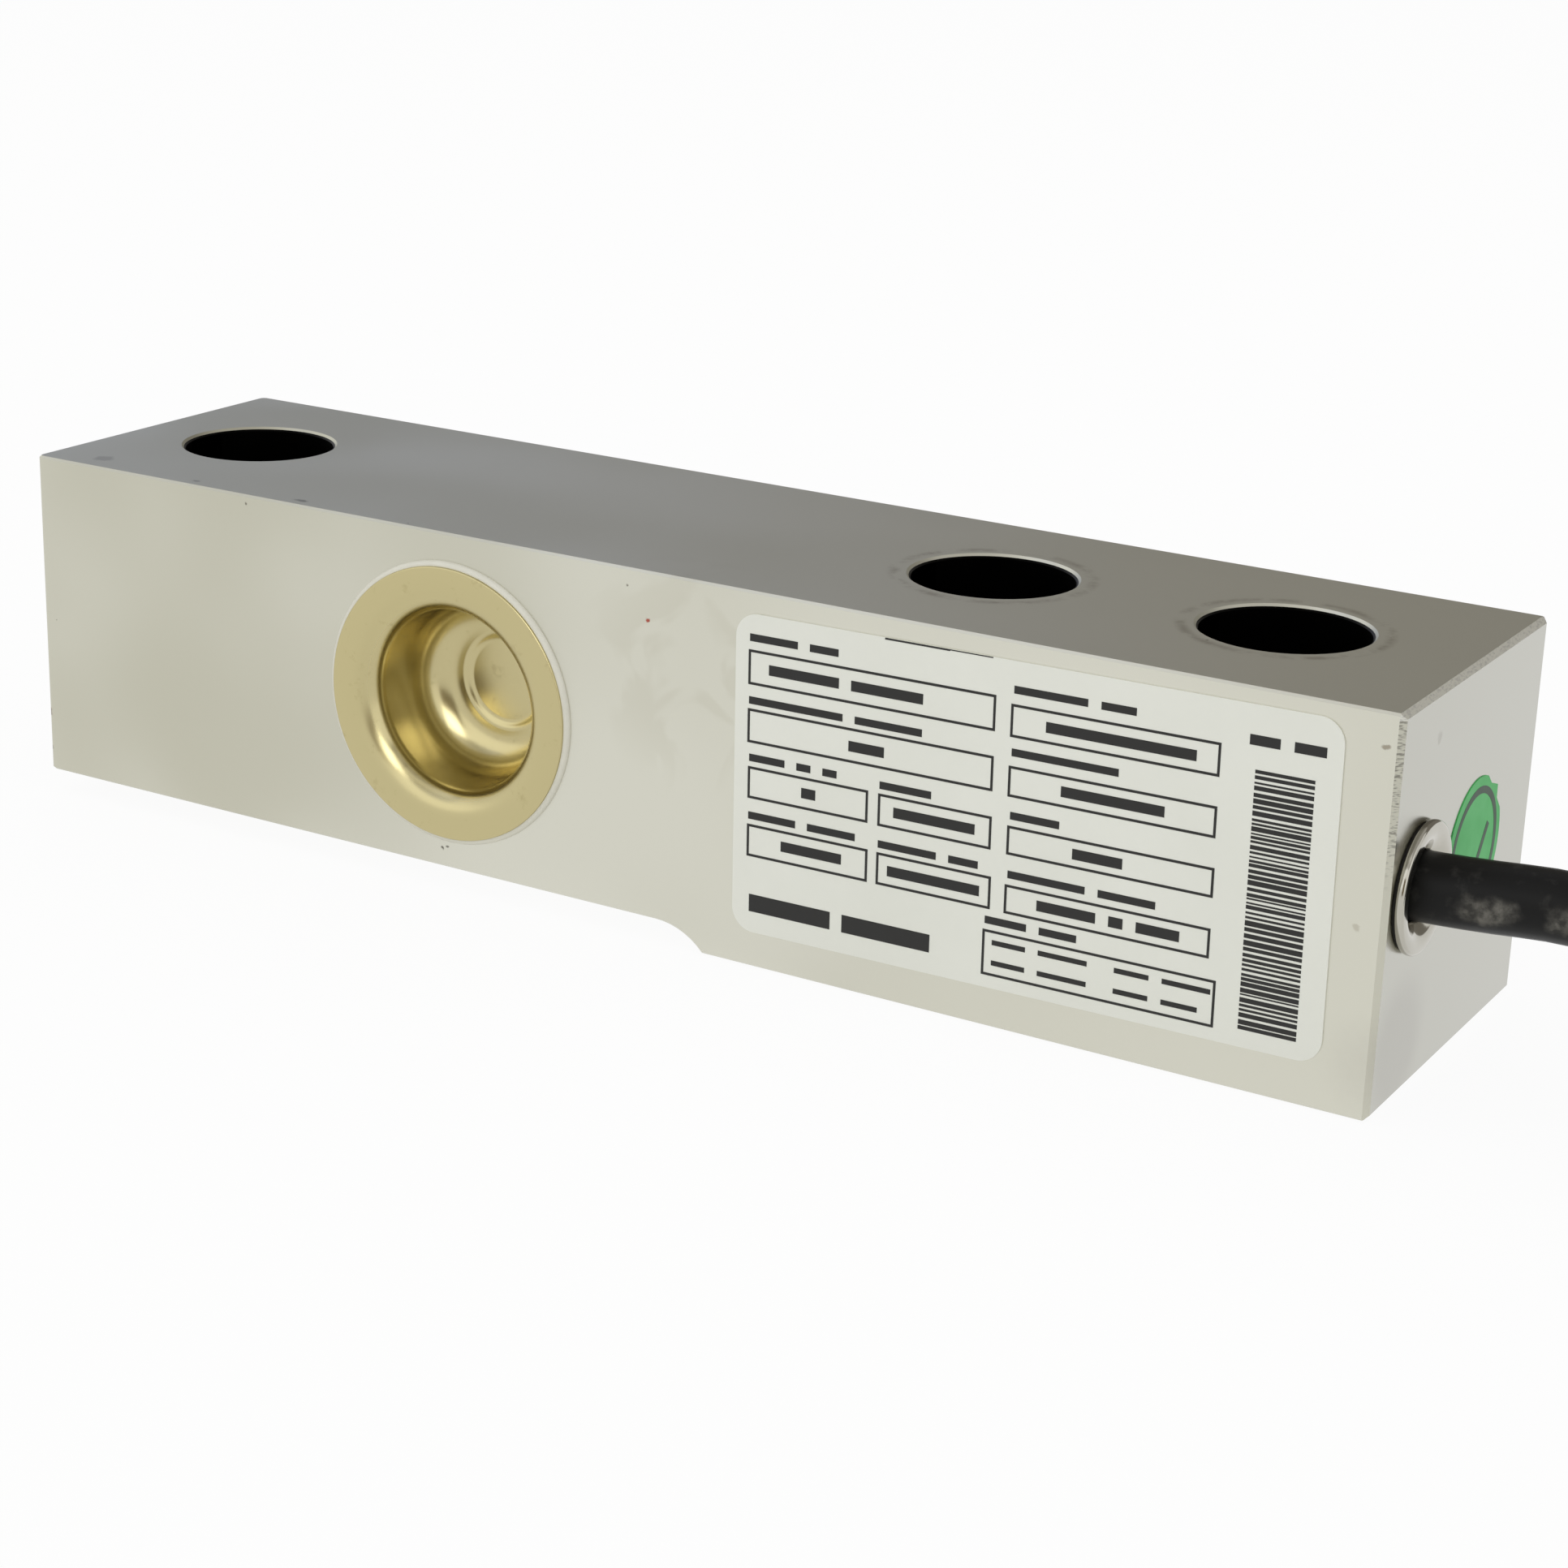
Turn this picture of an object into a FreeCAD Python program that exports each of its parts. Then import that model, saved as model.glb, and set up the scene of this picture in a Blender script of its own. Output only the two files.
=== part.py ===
import FreeCAD, Part
import math
import os

import Sketcher

# Cantilever shear beam load cell, in millimetres.
# The origin is midway between the two mounting holes, on the underside of the mounting pad.
# +X points to the cable end, -Y is the labelled side and +Z is up.

SIZES = [
    # Beam
    ("beam_width", 31.75, "beam across, front to rear"),
    ("beam_height", 31.75, "mounting pad to top face"),
    ("load_inset", 12.7, "load end to the load hole"),
    ("load_span", 76.2, "load hole to the first mounting hole"),
    ("mount_pitch", 25.4, "between the two mounting holes"),
    ("cable_inset", 15.75, "second mounting hole to the cable end"),
    ("hole_diameter", 13.5, "load and mounting holes"),
    ("hole_break", 0.35, "chamfer at the mouths of the holes"),
    ("pad_length", 58.4, "mounting pad, from the cable end"),
    ("relief", 2.0, "load half stands this far above the pad"),
    ("cutter_radius", 6.35, "concave end of the relief"),
    ("end_break", 0.45, "chamfer round the cable end"),
    ("load_round", 0.7, "rounded upright edges of the load end"),
    ("edge_break", 0.2, "chamfer on the other long edges"),
    # Gauge pockets and web
    ("pocket_inset", 46.0, "load end to the middle of the gauge pockets"),
    ("pocket_diameter", 21.0, "gauge pockets"),
    ("web_thickness", 4.75, "web left between the pockets"),
    ("web_hole_diameter", 2.6, "wire hole through the web"),
    ("web_hole_offset", 7.6, "wire hole from the middle of the pocket"),
    # Pressed sealing cups
    ("cup_sheet", 0.4, "sheet of the pressed cup"),
    ("cup_flange_diameter", 24.0, "flange of the cup"),
    ("cup_throat_diameter", 15.8, "inside of the cup's wall"),
    ("cup_rim_radius", 2.2, "rounded rim between flange and wall"),
    ("cup_corner_radius", 2.7, "corner between wall and floor"),
    ("cup_depth", 8.1, "beam face to the flat ring of the floor"),
    ("cup_ring_diameter", 9.2, "inside of the flat ring"),
    ("cup_dish_depth", 0.3, "dished middle below the flat ring"),
    ("cup_dish_radius", 1.2, "both bends at the edge of the dish"),
    ("bond_thickness", 0.2, "bond between flange and beam"),
    ("bond_lip", 0.7, "bond outside the flange"),
    ("bond_inset", 0.2, "bond kept clear of the pocket's edge"),
    # Cable bushing and wire passage
    ("passage_inset", 6.15, "front face to the axis of the passage"),
    ("passage_diameter", 4.0, "wire passage along the beam"),
    ("seat_diameter", 8.0, "seat of the bushing"),
    ("seat_depth", 7.0, "depth of that seat"),
    ("seat_fit", 0.02, "clearance of what sits in the seat"),
    ("spigot_length", 5.5, "bushing inside the seat"),
    ("bushing_flange_diameter", 10.36, "flange of the bushing"),
    ("bushing_flange_thickness", 0.75, "flange of the bushing"),
    ("bushing_round", 0.3, "rounded edge of the flange"),
    ("bell_radius", 1.7, "bell mouth where the cable comes out"),
    ("seal_thickness", 0.1, "sealing ring under the flange"),
    ("seal_inset", 0.3, "sealing ring kept inside the flange"),
    # Gauges and wiring
    ("gauge_length", 9.0, "strain gauge along the beam"),
    ("gauge_height", 7.0, "strain gauge up the web"),
    ("gauge_thickness", 0.1, "gauge with its backing"),
    ("board_length", 11.0, "front terminal board"),
    ("board_height", 3.6, "front terminal board"),
    ("board_thickness", 0.8, "front terminal board"),
    ("strip_length", 8.0, "rear terminal strip"),
    ("strip_height", 2.6, "rear terminal strip"),
    ("strip_thickness", 0.6, "rear terminal strip"),
    ("board_drop", 6.6, "middle of the pocket down to both boards"),
    ("resistor_diameter", 1.0, "trim resistors"),
    ("resistor_length", 3.2, "trim resistors"),
    ("resistor_drop", 0.8, "resistors below the middle of the board"),
    ("resistor_spread", 2.6, "resistors either side of the middle"),
    ("inner_lead_diameter", 0.7, "conductors in the passage"),
    ("inner_lead_pitch", 0.85, "one conductor above the other"),
    ("inner_lead_turn", 9.35, "from the pocket's middle to their turn"),
    ("inner_lead_stagger", 0.2, "one conductor turns after the other"),
    ("inner_pad_pitch", 1.6, "solder pads along the board"),
    ("inner_pad_first", 4.8, "first pad from the middle"),
    ("jumper_diameter", 0.5, "wires through the web"),
    ("jumper_pitch", 0.7, "one jumper above the other"),
    ("gauge_wire_diameter", 0.3, "links from gauge to board"),
    ("gauge_wire_pitch", 2.4, "links from gauge to board"),
    # Stickers
    ("label_length", 51.4, "rating label"),
    ("label_height", 26.9, "rating label"),
    ("label_corner", 2.0, "rating label"),
    ("label_sheet", 0.12, "rating label"),
    ("label_end_gap", 4.15, "cable end to the label"),
    ("label_middle", 16.8, "pad to the middle of the label"),
    ("label_turn", 0.7, "label stuck on askew, in degrees"),
    ("sticker_diameter", 12.0, "inspection sticker"),
    ("sticker_sheet", 0.08, "inspection sticker"),
    ("sticker_inset", 18.3, "front face to the middle of the sticker"),
    ("sticker_middle", 16.0, "pad to the middle of the sticker"),
    # Cable and hank
    ("cable_diameter", 5.4, "signal cable"),
    ("cable_fit", 0.05, "cable in the bore of the bushing"),
    ("fold_radius", 16.5, "inner turn at the folds of the hank"),
    ("hank_straight", 58.8, "hank between its folds"),
    ("hank_rows", 2, "turns side by side"),
    ("hank_layers", 6, "turns on top of each other"),
    ("hank_round", 2.6, "rounded edges of the hank"),
    ("hank_near_fold", 108.0, "origin to the centre of the near fold"),
    ("hank_side", 7.5, "origin to the middle of the hank"),
    ("stub_length", 16.5, "straight lead into the hank"),
    ("tie_sheet", 1.0, "strap of the hank ties"),
    ("tie_width", 4.8, "strap of the hank ties"),
    ("tie_head", 5.6, "head of the hank ties, up and down"),
    ("tie_head_depth", 4.5, "head of the hank ties, away from the strap"),
    ("tie_near_place", 29.0, "near fold to the front tie"),
    ("tie_far_place", 0.4, "near fold to the rear tie"),
    ("tail_length", 11.0, "cable end on top of the hank"),
    ("tail_place", 58.0, "near fold to the start of the tail"),
    ("sleeve_diameter", 6.2, "shrink sleeve"),
    ("sleeve_length", 9.0, "shrink sleeve"),
    ("lead_diameter", 1.3, "stripped leads"),
    ("lead_pitch", 1.6, "leads side by side on the hank"),
    ("lead_bundle", 0.8125, "middle of the sleeve to each lead that leaves it"),
    ("lead_straight", 5.0, "leads straight out of the sleeve"),
    ("lead_spread", 12.0, "sleeve to where the leads lie side by side"),
    ("lead_landing", 20.0, "sleeve to where the leads lie on the hank"),
    ("lead_green_length", 31.0, "green lead, sleeve to tip"),
    ("lead_black_length", 29.0, "black lead, sleeve to tip"),
    ("lead_white_length", 32.0, "white lead, sleeve to tip"),
    ("lead_red_length", 30.0, "red lead, sleeve to tip"),
    ("lead_tip_length", 5.0, "tinned tip of a lead"),
    ("lead_tip_diameter", 0.8, "tinned tip of a lead"),
    ("drain_diameter", 0.8, "drain wire of the shield"),
    ("drain_fall", 14.0, "sleeve to where the drain wire comes down"),
    ("drain_length", 24.0, "drain wire, sleeve to tip"),
]

# The stretch of cable from the bushing to the hank, as points that its runs meet at.
CABLE_ROUTE = [
    (22.95, -9.725, 16.9),
    (30.5, -9.725, 16.9),
    (42.5, -8.9, 17.8),
    (53.8, -9.4, 14.9),
    (63.5, -11.6, 8.6),
    (77.5, -14.4, 3.7),
    (91.5, -14.4, 3.7),
]
# The torn side of the round sticker: degrees round it, and the share of its radius left there.
TORN_EDGE = [(20, 1.0), (34, 0.93), (43, 1.04), (58, 0.94), (70, 1.0)]
WIRE_COLOURS = ("green", "black", "white", "red")


class Size:
    """A number together with the sheet expression that gives it."""

    def __init__(self, value, text):
        self.value = value
        self.text = text

    @staticmethod
    def of(other):
        return other if isinstance(other, Size) else Size(float(other), repr(float(other)))

    def __add__(self, other):
        other = Size.of(other)
        return Size(self.value + other.value, "(%s + %s)" % (self.text, other.text))

    def __sub__(self, other):
        other = Size.of(other)
        return Size(self.value - other.value, "(%s - %s)" % (self.text, other.text))

    def __mul__(self, other):
        other = Size.of(other)
        return Size(self.value * other.value, "(%s * %s)" % (self.text, other.text))

    def __truediv__(self, other):
        other = Size.of(other)
        return Size(self.value / other.value, "(%s / %s)" % (self.text, other.text))

    def __neg__(self):
        return Size(-self.value, "(-1 * %s)" % self.text)

    def root(self):
        return Size(math.sqrt(self.value), "sqrt(%s)" % self.text)


def bind(item, path, size):
    item.setExpression(path, Size.of(size).text)


doc = FreeCAD.newDocument("load_cell")
sheet = doc.addObject("Spreadsheet::Sheet", "sizes")
for row, (alias, value, note) in enumerate(SIZES, start=1):
    sheet.set("A%d" % row, note)
    sheet.set("B%d" % row, str(value))
    sheet.setAlias("B%d" % row, alias)
doc.recompute()
size = {alias: Size(float(sheet.get(alias)), "sizes." + alias) for alias, _, _ in SIZES}
ZERO = Size.of(0)

# Places that several pieces share
half_width = size["beam_width"] / 2
top = size["beam_height"]
cable_end = size["mount_pitch"] / 2 + size["cable_inset"]
load_hole = -(size["mount_pitch"] / 2 + size["load_span"])
load_end = load_hole - size["load_inset"]
pocket_x = load_end + size["pocket_inset"]
pocket_z = (size["relief"] + size["beam_height"]) / 2
passage_y = size["passage_inset"] - half_width
web_half = size["web_thickness"] / 2
board_z = pocket_z - size["board_drop"]
cable_radius = size["cable_diameter"] / 2
hank_width = size["hank_rows"] * size["cable_diameter"]
hank_inner = size["fold_radius"] - cable_radius
hank_outer = hank_inner + hank_width
hank_bottom = size["tie_sheet"]
hank_height = size["hank_layers"] * size["cable_diameter"]
hank_top = hank_bottom + hank_height
leg_offset = (hank_inner + hank_outer) / 2
rear_leg = size["hank_side"] + leg_offset
front_leg = size["hank_side"] - leg_offset

parts = []


def keep(item, label):
    item.Label = label
    parts.append(item)
    return item


def new_body(label):
    return keep(doc.addObject("PartDesign::Body", label), label)


def new_sketch(body, name, role, at=(ZERO, ZERO, ZERO)):
    """A sketch on one of the body's origin planes, moved by at in the plane's own axes."""
    sketch = body.newObject("Sketcher::SketchObject", name)
    plane = next(f for f in body.Origin.OriginFeatures if f.Role == role)
    sketch.AttachmentSupport = [(plane, "")]
    sketch.MapMode = "FlatFace"
    for axis, place in zip("xyz", at):
        bind(sketch, "AttachmentOffset.Base." + axis, place)
    return sketch


def pin(sketch, name, kind, ids, place):
    """A dimension of the sketch that follows the sheet."""
    number = sketch.addConstraint(Sketcher.Constraint(kind, *ids, Size.of(place).value))
    sketch.renameConstraint(number, name)
    bind(sketch, "Constraints." + name, place)


def arc_between(start, end, radius):
    """The short arc from start to end; a positive radius turns left, a negative one right."""
    sx, sy = start
    ex, ey = end
    half = math.hypot(ex - sx, ey - sy) / 2
    reach = math.sqrt(max(radius * radius - half * half, 0.0))
    side = 1 if radius > 0 else -1
    cx = (sx + ex) / 2 - side * reach * (ey - sy) / (2 * half)
    cy = (sy + ey) / 2 + side * reach * (ex - sx) / (2 * half)
    first, last = (start, end) if radius > 0 else (end, start)
    circle = Part.Circle(FreeCAD.Vector(cx, cy, 0), FreeCAD.Vector(0, 0, 1), abs(radius))
    begin = math.atan2(first[1] - cy, first[0] - cx)
    finish = math.atan2(last[1] - cy, last[0] - cx)
    return Part.ArcOfCircle(circle, begin, finish)


def outline(sketch, corners, rounds=None, mark="p"):
    """A closed chain through the corners; rounds gives the sides that are arcs, with their radius."""
    rounds = rounds or {}
    spots = [(Size.of(x).value, Size.of(y).value) for x, y in corners]
    ids = []
    for i, spot in enumerate(spots):
        after = spots[(i + 1) % len(spots)]
        if i in rounds:
            radius = Size.of(rounds[i]).value
            number = sketch.addGeometry(arc_between(spot, after, radius), False)
            ids.append((number, 1, 2) if radius > 0 else (number, 2, 1))
        else:
            line = Part.LineSegment(FreeCAD.Vector(*spot, 0), FreeCAD.Vector(*after, 0))
            ids.append((sketch.addGeometry(line, False), 1, 2))
    for i, (number, first, last) in enumerate(ids):
        following, start, _ = ids[(i + 1) % len(ids)]
        sketch.addConstraint(Sketcher.Constraint("Coincident", number, last, following, start))
    for i, (x, y) in enumerate(corners):
        number, first, _ = ids[i]
        pin(sketch, "%sx%d" % (mark, i), "DistanceX", (-1, 1, number, first), x)
        pin(sketch, "%sy%d" % (mark, i), "DistanceY", (-1, 1, number, first), y)
        if i in rounds:
            radius = Size.of(rounds[i])
            pin(sketch, "%sr%d" % (mark, i), "Radius", (number,), radius if radius.value > 0 else -radius)


def circle(sketch, x, y, radius, mark):
    spot = FreeCAD.Vector(Size.of(x).value, Size.of(y).value, 0)
    shape = Part.Circle(spot, FreeCAD.Vector(0, 0, 1), Size.of(radius).value)
    number = sketch.addGeometry(shape, False)
    pin(sketch, mark + "x", "DistanceX", (-1, 1, number, 3), x)
    pin(sketch, mark + "y", "DistanceY", (-1, 1, number, 3), y)
    pin(sketch, mark + "r", "Radius", (number,), radius)


def pad(body, sketch, length, symmetric=False, backwards=False):
    feature = body.newObject("PartDesign::Pad", sketch.Name + "_pad")
    feature.Profile = sketch
    feature.SideType = "Symmetric" if symmetric else "One side"
    feature.Reversed = backwards
    bind(feature, "Length", length)
    return feature


def turn(body, sketch, axis, cut=False):
    """Revolve the sketch about one of its own axes, adding or cutting."""
    kind = "PartDesign::Groove" if cut else "PartDesign::Revolution"
    feature = body.newObject(kind, sketch.Name + "_turn")
    feature.Profile = sketch
    feature.ReferenceAxis = (sketch, [axis])
    feature.Angle = 360
    return feature


def turned(label, axis, at, corners, rounds=None):
    """A turned or pressed piece of one closed profile."""
    body = new_body(label)
    sketch = new_sketch(body, label + "_profile", "XY_Plane", at)
    outline(sketch, corners, rounds)
    turn(body, sketch, axis)
    return body


def edges_where(feature, test):
    return ["Edge%d" % i for i, edge in enumerate(feature.Shape.Edges, start=1) if test(edge)]


def broken_edges(body, feature, name, test, width):
    """Chamfer the edges of the last feature that pass the test."""
    doc.recompute()
    chamfer = body.newObject("PartDesign::Chamfer", name)
    chamfer.Base = (feature, edges_where(feature, test))
    bind(chamfer, "Size", width)
    return chamfer


def rounded_edges(body, feature, name, test, radius):
    """Round the edges of the last feature that pass the test."""
    doc.recompute()
    fillet = body.newObject("PartDesign::Fillet", name)
    fillet.Base = (feature, edges_where(feature, test))
    bind(fillet, "Radius", radius)
    return fillet


def box(label, at, length, depth, height):
    """A plain block whose lowest corner is at."""
    block = doc.addObject("Part::Box", label)
    for path, value in zip(("Length", "Width", "Height"), (length, depth, height)):
        bind(block, path, value)
    for axis, place in zip("xyz", at):
        bind(block, "Placement.Base." + axis, place)
    return block


def rod(label, at, axis, diameter, length):
    """A round bar that starts at at and runs along axis."""
    bar = doc.addObject("Part::Cylinder", label)
    bind(bar, "Radius", diameter / 2)
    bind(bar, "Height", length)
    bar.Placement.Rotation = FreeCAD.Rotation(FreeCAD.Vector(0, 0, 1), FreeCAD.Vector(*axis))
    for name, place in zip("xyz", at):
        bind(bar, "Placement.Base." + name, place)
    return bar


def bend_path(points):
    """Straight runs joined by tangent arcs as large as the runs allow, and the arcs' radii."""
    spots = [FreeCAD.Vector(*p) for p in points]
    edges = []
    radii = []
    start = spots[0]
    for before, corner, after in zip(spots, spots[1:], spots[2:]):
        back = (before - corner).normalize()
        ahead = (after - corner).normalize()
        trim = 0.45 * min((before - corner).Length, (after - corner).Length)
        half_turn = (math.pi - back.getAngle(ahead)) / 2
        radius = trim / math.tan(half_turn)
        inward = (back + ahead).normalize()
        centre = corner + inward * (radius / math.cos(half_turn))
        first = corner + back * trim
        last = corner + ahead * trim
        edges.append(Part.LineSegment(start, first).toShape())
        edges.append(Part.Arc(first, centre - inward * radius, last).toShape())
        radii.append(radius)
        start = last
    edges.append(Part.LineSegment(start, spots[-1]).toShape())
    return Part.Wire(edges), radii


def tube_shape(points, diameter):
    """A round tube along the points, with its path's length checked against its volume."""
    path, radii = bend_path(points)
    spots = [FreeCAD.Vector(*p) for p in points]
    ring = Part.Wire(Part.Circle(spots[0], spots[1] - spots[0], diameter / 2).toShape())
    solid = path.makePipeShell([ring], True, False)
    expected = math.pi * diameter * diameter / 4 * path.Length
    if not solid.isValid() or abs(solid.Volume / expected - 1) > 0.01:
        raise RuntimeError("a tube did not come out whole")
    return solid, radii, path.Length


def tube(label, points, diameter):
    item = keep(doc.addObject("Part::Feature", label), label)
    item.Shape, radii, length = tube_shape(points, diameter)
    print("%s: length %.1f, radii %s" % (label, length, ["%.1f" % r for r in radii]))
    return item


# Beam: side profile with the relieved load half, then holes, pockets, web hole and passage
beam = new_body("beam_body")
pad_start = cable_end - size["pad_length"]
sweep = (size["cutter_radius"] * 2 * size["relief"] - size["relief"] * size["relief"]).root()
side = new_sketch(beam, "beam_side", "XZ_Plane")
outline(
    side,
    [
        (load_end, size["relief"]),
        (pad_start - sweep, size["relief"]),
        (pad_start, ZERO),
        (cable_end, ZERO),
        (cable_end, top),
        (load_end, top),
    ],
    {1: -size["cutter_radius"]},
)
bar = pad(beam, side, size["beam_width"], symmetric=True)

holes = new_sketch(beam, "beam_holes", "XY_Plane")
half_pitch = size["mount_pitch"] / 2
for mark, place in (("load", load_hole), ("near", -half_pitch), ("far", half_pitch)):
    circle(holes, place, ZERO, size["hole_diameter"] / 2, mark)
drilled = beam.newObject("PartDesign::Pocket", "beam_drilled")
drilled.Profile = holes
drilled.Type = "ThroughAll"
drilled.Reversed = True

pockets = new_sketch(beam, "beam_pockets", "XY_Plane", (pocket_x, ZERO, pocket_z))
pocket_radius = size["pocket_diameter"] / 2
for mark, sign in (("front", -1), ("rear", 1)):
    outline(
        pockets,
        [
            (ZERO, web_half * sign),
            (pocket_radius, web_half * sign),
            (pocket_radius, half_width * sign),
            (ZERO, half_width * sign),
        ],
        mark=mark,
    )
pocketed = turn(beam, pockets, "V_Axis", cut=True)

web_hole_x = pocket_x - size["web_hole_offset"]
web_hole = new_sketch(beam, "beam_web_hole", "XZ_Plane")
circle(web_hole, web_hole_x, pocket_z, size["web_hole_diameter"] / 2, "wire")
web_drilled = beam.newObject("PartDesign::Pocket", "beam_web_drilled")
web_drilled.Profile = web_hole
web_drilled.SideType = "Symmetric"
bind(web_drilled, "Length", size["web_thickness"] * 2)

seat_bottom = cable_end - size["seat_depth"]
passage = new_sketch(beam, "beam_passage", "XY_Plane", (ZERO, passage_y, pocket_z))
outline(
    passage,
    [
        (pocket_x, ZERO),
        (cable_end, ZERO),
        (cable_end, size["seat_diameter"] / 2),
        (seat_bottom, size["seat_diameter"] / 2),
        (seat_bottom, size["passage_diameter"] / 2),
        (pocket_x, size["passage_diameter"] / 2),
    ],
)
bored = turn(beam, passage, "H_Axis", cut=True)


def is_hole_mouth(edge):
    if not isinstance(edge.Curve, Part.Circle):
        return False
    upright = abs(edge.Curve.Axis.z) > 0.99
    return upright and abs(edge.Curve.Radius - size["hole_diameter"].value / 2) < 0.01


def is_end_edge(edge):
    straight = isinstance(edge.Curve, Part.Line)
    return straight and all(abs(v.X - cable_end.value) < 0.01 for v in edge.Vertexes)


def is_nose_edge(edge):
    upright = edge.BoundBox.ZLength > size["beam_height"].value / 2
    return upright and all(abs(v.X - load_end.value) < 0.01 for v in edge.Vertexes)


def is_long_edge(edge):
    if not isinstance(edge.Curve, Part.Line):
        return False
    box_of_edge = edge.BoundBox
    outside = abs(abs(edge.CenterOfMass.y) - half_width.value) < 0.01
    return box_of_edge.XLength > size["hole_diameter"].value and outside


mouths = broken_edges(beam, bored, "beam_mouths", is_hole_mouth, size["hole_break"])
ends = broken_edges(beam, mouths, "beam_end_break", is_end_edge, size["end_break"])
nose = rounded_edges(beam, ends, "beam_load_round", is_nose_edge, size["load_round"])
broken_edges(beam, nose, "beam_edge_break", is_long_edge, size["edge_break"])


# Pressed sealing cups, each on a ring of bond that closes the joint to the beam
def sealing_cup(label, sign):
    """The cup in one profile: its open side from the flange inwards, then its back."""
    sheet_gauge = size["cup_sheet"]
    flange = size["cup_flange_diameter"] / 2
    throat = size["cup_throat_diameter"] / 2
    rim = throat + size["cup_rim_radius"]
    bend = size["cup_corner_radius"]
    fold = size["cup_dish_radius"]
    face = half_width + size["bond_thickness"]
    ring = half_width - size["cup_depth"]
    floor = ring - size["cup_dish_depth"]
    # Two equal bends lead from the flat ring down into the dish
    cosine = -(size["cup_dish_depth"] / (fold * 2)) + 1
    sine = (-(cosine * cosine) + 1).root()
    ring_edge = size["cup_ring_diameter"] / 2
    slope = ring_edge - fold * sine
    slope_height = (ring + floor) / 2
    dish_edge = slope - fold * sine
    front = [
        (flange, face + sheet_gauge),
        (rim, face + sheet_gauge),
        (throat, face + sheet_gauge - size["cup_rim_radius"]),
        (throat, ring + bend),
        (throat - bend, ring),
        (ring_edge, ring),
        (slope, slope_height),
        (dish_edge, floor),
        (ZERO, floor),
    ]
    back = [
        (ZERO, floor - sheet_gauge),
        (dish_edge, floor - sheet_gauge),
        (slope + sheet_gauge * sine, slope_height - sheet_gauge * cosine),
        (ring_edge, ring - sheet_gauge),
        (throat - bend, ring - sheet_gauge),
        (throat + sheet_gauge, ring + bend),
        (throat + sheet_gauge, face + sheet_gauge - size["cup_rim_radius"]),
        (rim, face),
        (flange, face),
    ]
    turns = {
        1: size["cup_rim_radius"],
        3: -bend,
        5: fold,
        6: -fold,
        10: fold + sheet_gauge,
        11: -(fold - sheet_gauge),
        13: bend + sheet_gauge,
        15: -(size["cup_rim_radius"] - sheet_gauge),
    }
    profile = [(x, y * sign) for x, y in front + back]
    rounds = {side_number: radius * sign for side_number, radius in turns.items()}
    turned(label, "V_Axis", (pocket_x, ZERO, pocket_z), profile, rounds)


def cup_bond(label, sign):
    flange = size["cup_flange_diameter"] / 2
    inner = pocket_radius + size["bond_inset"]
    seat = half_width + size["bond_thickness"]
    crown = seat + size["cup_sheet"] / 2
    profile = [
        (inner, half_width),
        (flange + size["bond_lip"], half_width),
        (flange + size["bond_lip"] / 2, crown),
        (flange, crown),
        (flange, seat),
        (inner, seat),
    ]
    turned(label, "V_Axis", (pocket_x, ZERO, pocket_z), [(x, y * sign) for x, y in profile])


for position, sign in (("front", -1), ("rear", 1)):
    sealing_cup(position + "_sealing_cup", sign)
    cup_bond(position + "_cup_bond", sign)

# Cable bushing with its bell mouth, the ring under its flange and the cast plug behind it
bushing_axis = (cable_end, passage_y, pocket_z)
bore = cable_radius + size["cable_fit"]
seat_radius = size["seat_diameter"] / 2 - size["seat_fit"]
bushing_flange = size["bushing_flange_diameter"] / 2
flange_back = size["seal_thickness"]
flange_face = flange_back + size["bushing_flange_thickness"]
turned(
    "cable_bushing",
    "H_Axis",
    bushing_axis,
    [
        (-size["spigot_length"], bore),
        (-size["spigot_length"], seat_radius),
        (flange_back, seat_radius),
        (flange_back, bushing_flange),
        (flange_face - size["bushing_round"], bushing_flange),
        (flange_face, bushing_flange - size["bushing_round"]),
        (flange_face, bore + size["bell_radius"]),
        (flange_face - size["bell_radius"], bore),
    ],
    {4: -size["bushing_round"], 6: -size["bell_radius"]},
)
turned(
    "bushing_seal",
    "H_Axis",
    bushing_axis,
    [
        (ZERO, seat_radius + size["seat_fit"]),
        (flange_back, seat_radius + size["seat_fit"]),
        (flange_back, bushing_flange - size["seal_inset"]),
        (ZERO, bushing_flange - size["seal_inset"]),
    ],
)
turned(
    "potting_plug",
    "H_Axis",
    bushing_axis,
    [
        (-size["seat_depth"], size["passage_diameter"] / 2),
        (-size["spigot_length"], size["passage_diameter"] / 2),
        (-size["spigot_length"], seat_radius),
        (-size["seat_depth"], seat_radius),
    ],
)

# Strain gauges on both sides of the web, with the boards under them
gauge_at = (pocket_x - size["gauge_length"] / 2, pocket_z - size["gauge_height"] / 2)
gauge_front = -(web_half + size["gauge_thickness"])
for label, y in (("front_shear_gauge", gauge_front), ("rear_shear_gauge", web_half)):
    gauge = box(
        label,
        (gauge_at[0], y, gauge_at[1]),
        size["gauge_length"],
        size["gauge_thickness"],
        size["gauge_height"],
    )
    keep(gauge, label)
board_face = web_half + size["board_thickness"]
strip_face = web_half + size["strip_thickness"]
board = box(
    "terminal_board",
    (pocket_x - size["board_length"] / 2, -board_face, board_z - size["board_height"] / 2),
    size["board_length"],
    size["board_thickness"],
    size["board_height"],
)
keep(board, "terminal_board")
strip = box(
    "rear_terminal_strip",
    (pocket_x - size["strip_length"] / 2, web_half, board_z - size["strip_height"] / 2),
    size["strip_length"],
    size["strip_thickness"],
    size["strip_height"],
)
keep(strip, "rear_terminal_strip")
resistor_y = -(board_face + size["resistor_diameter"] / 2)
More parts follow.
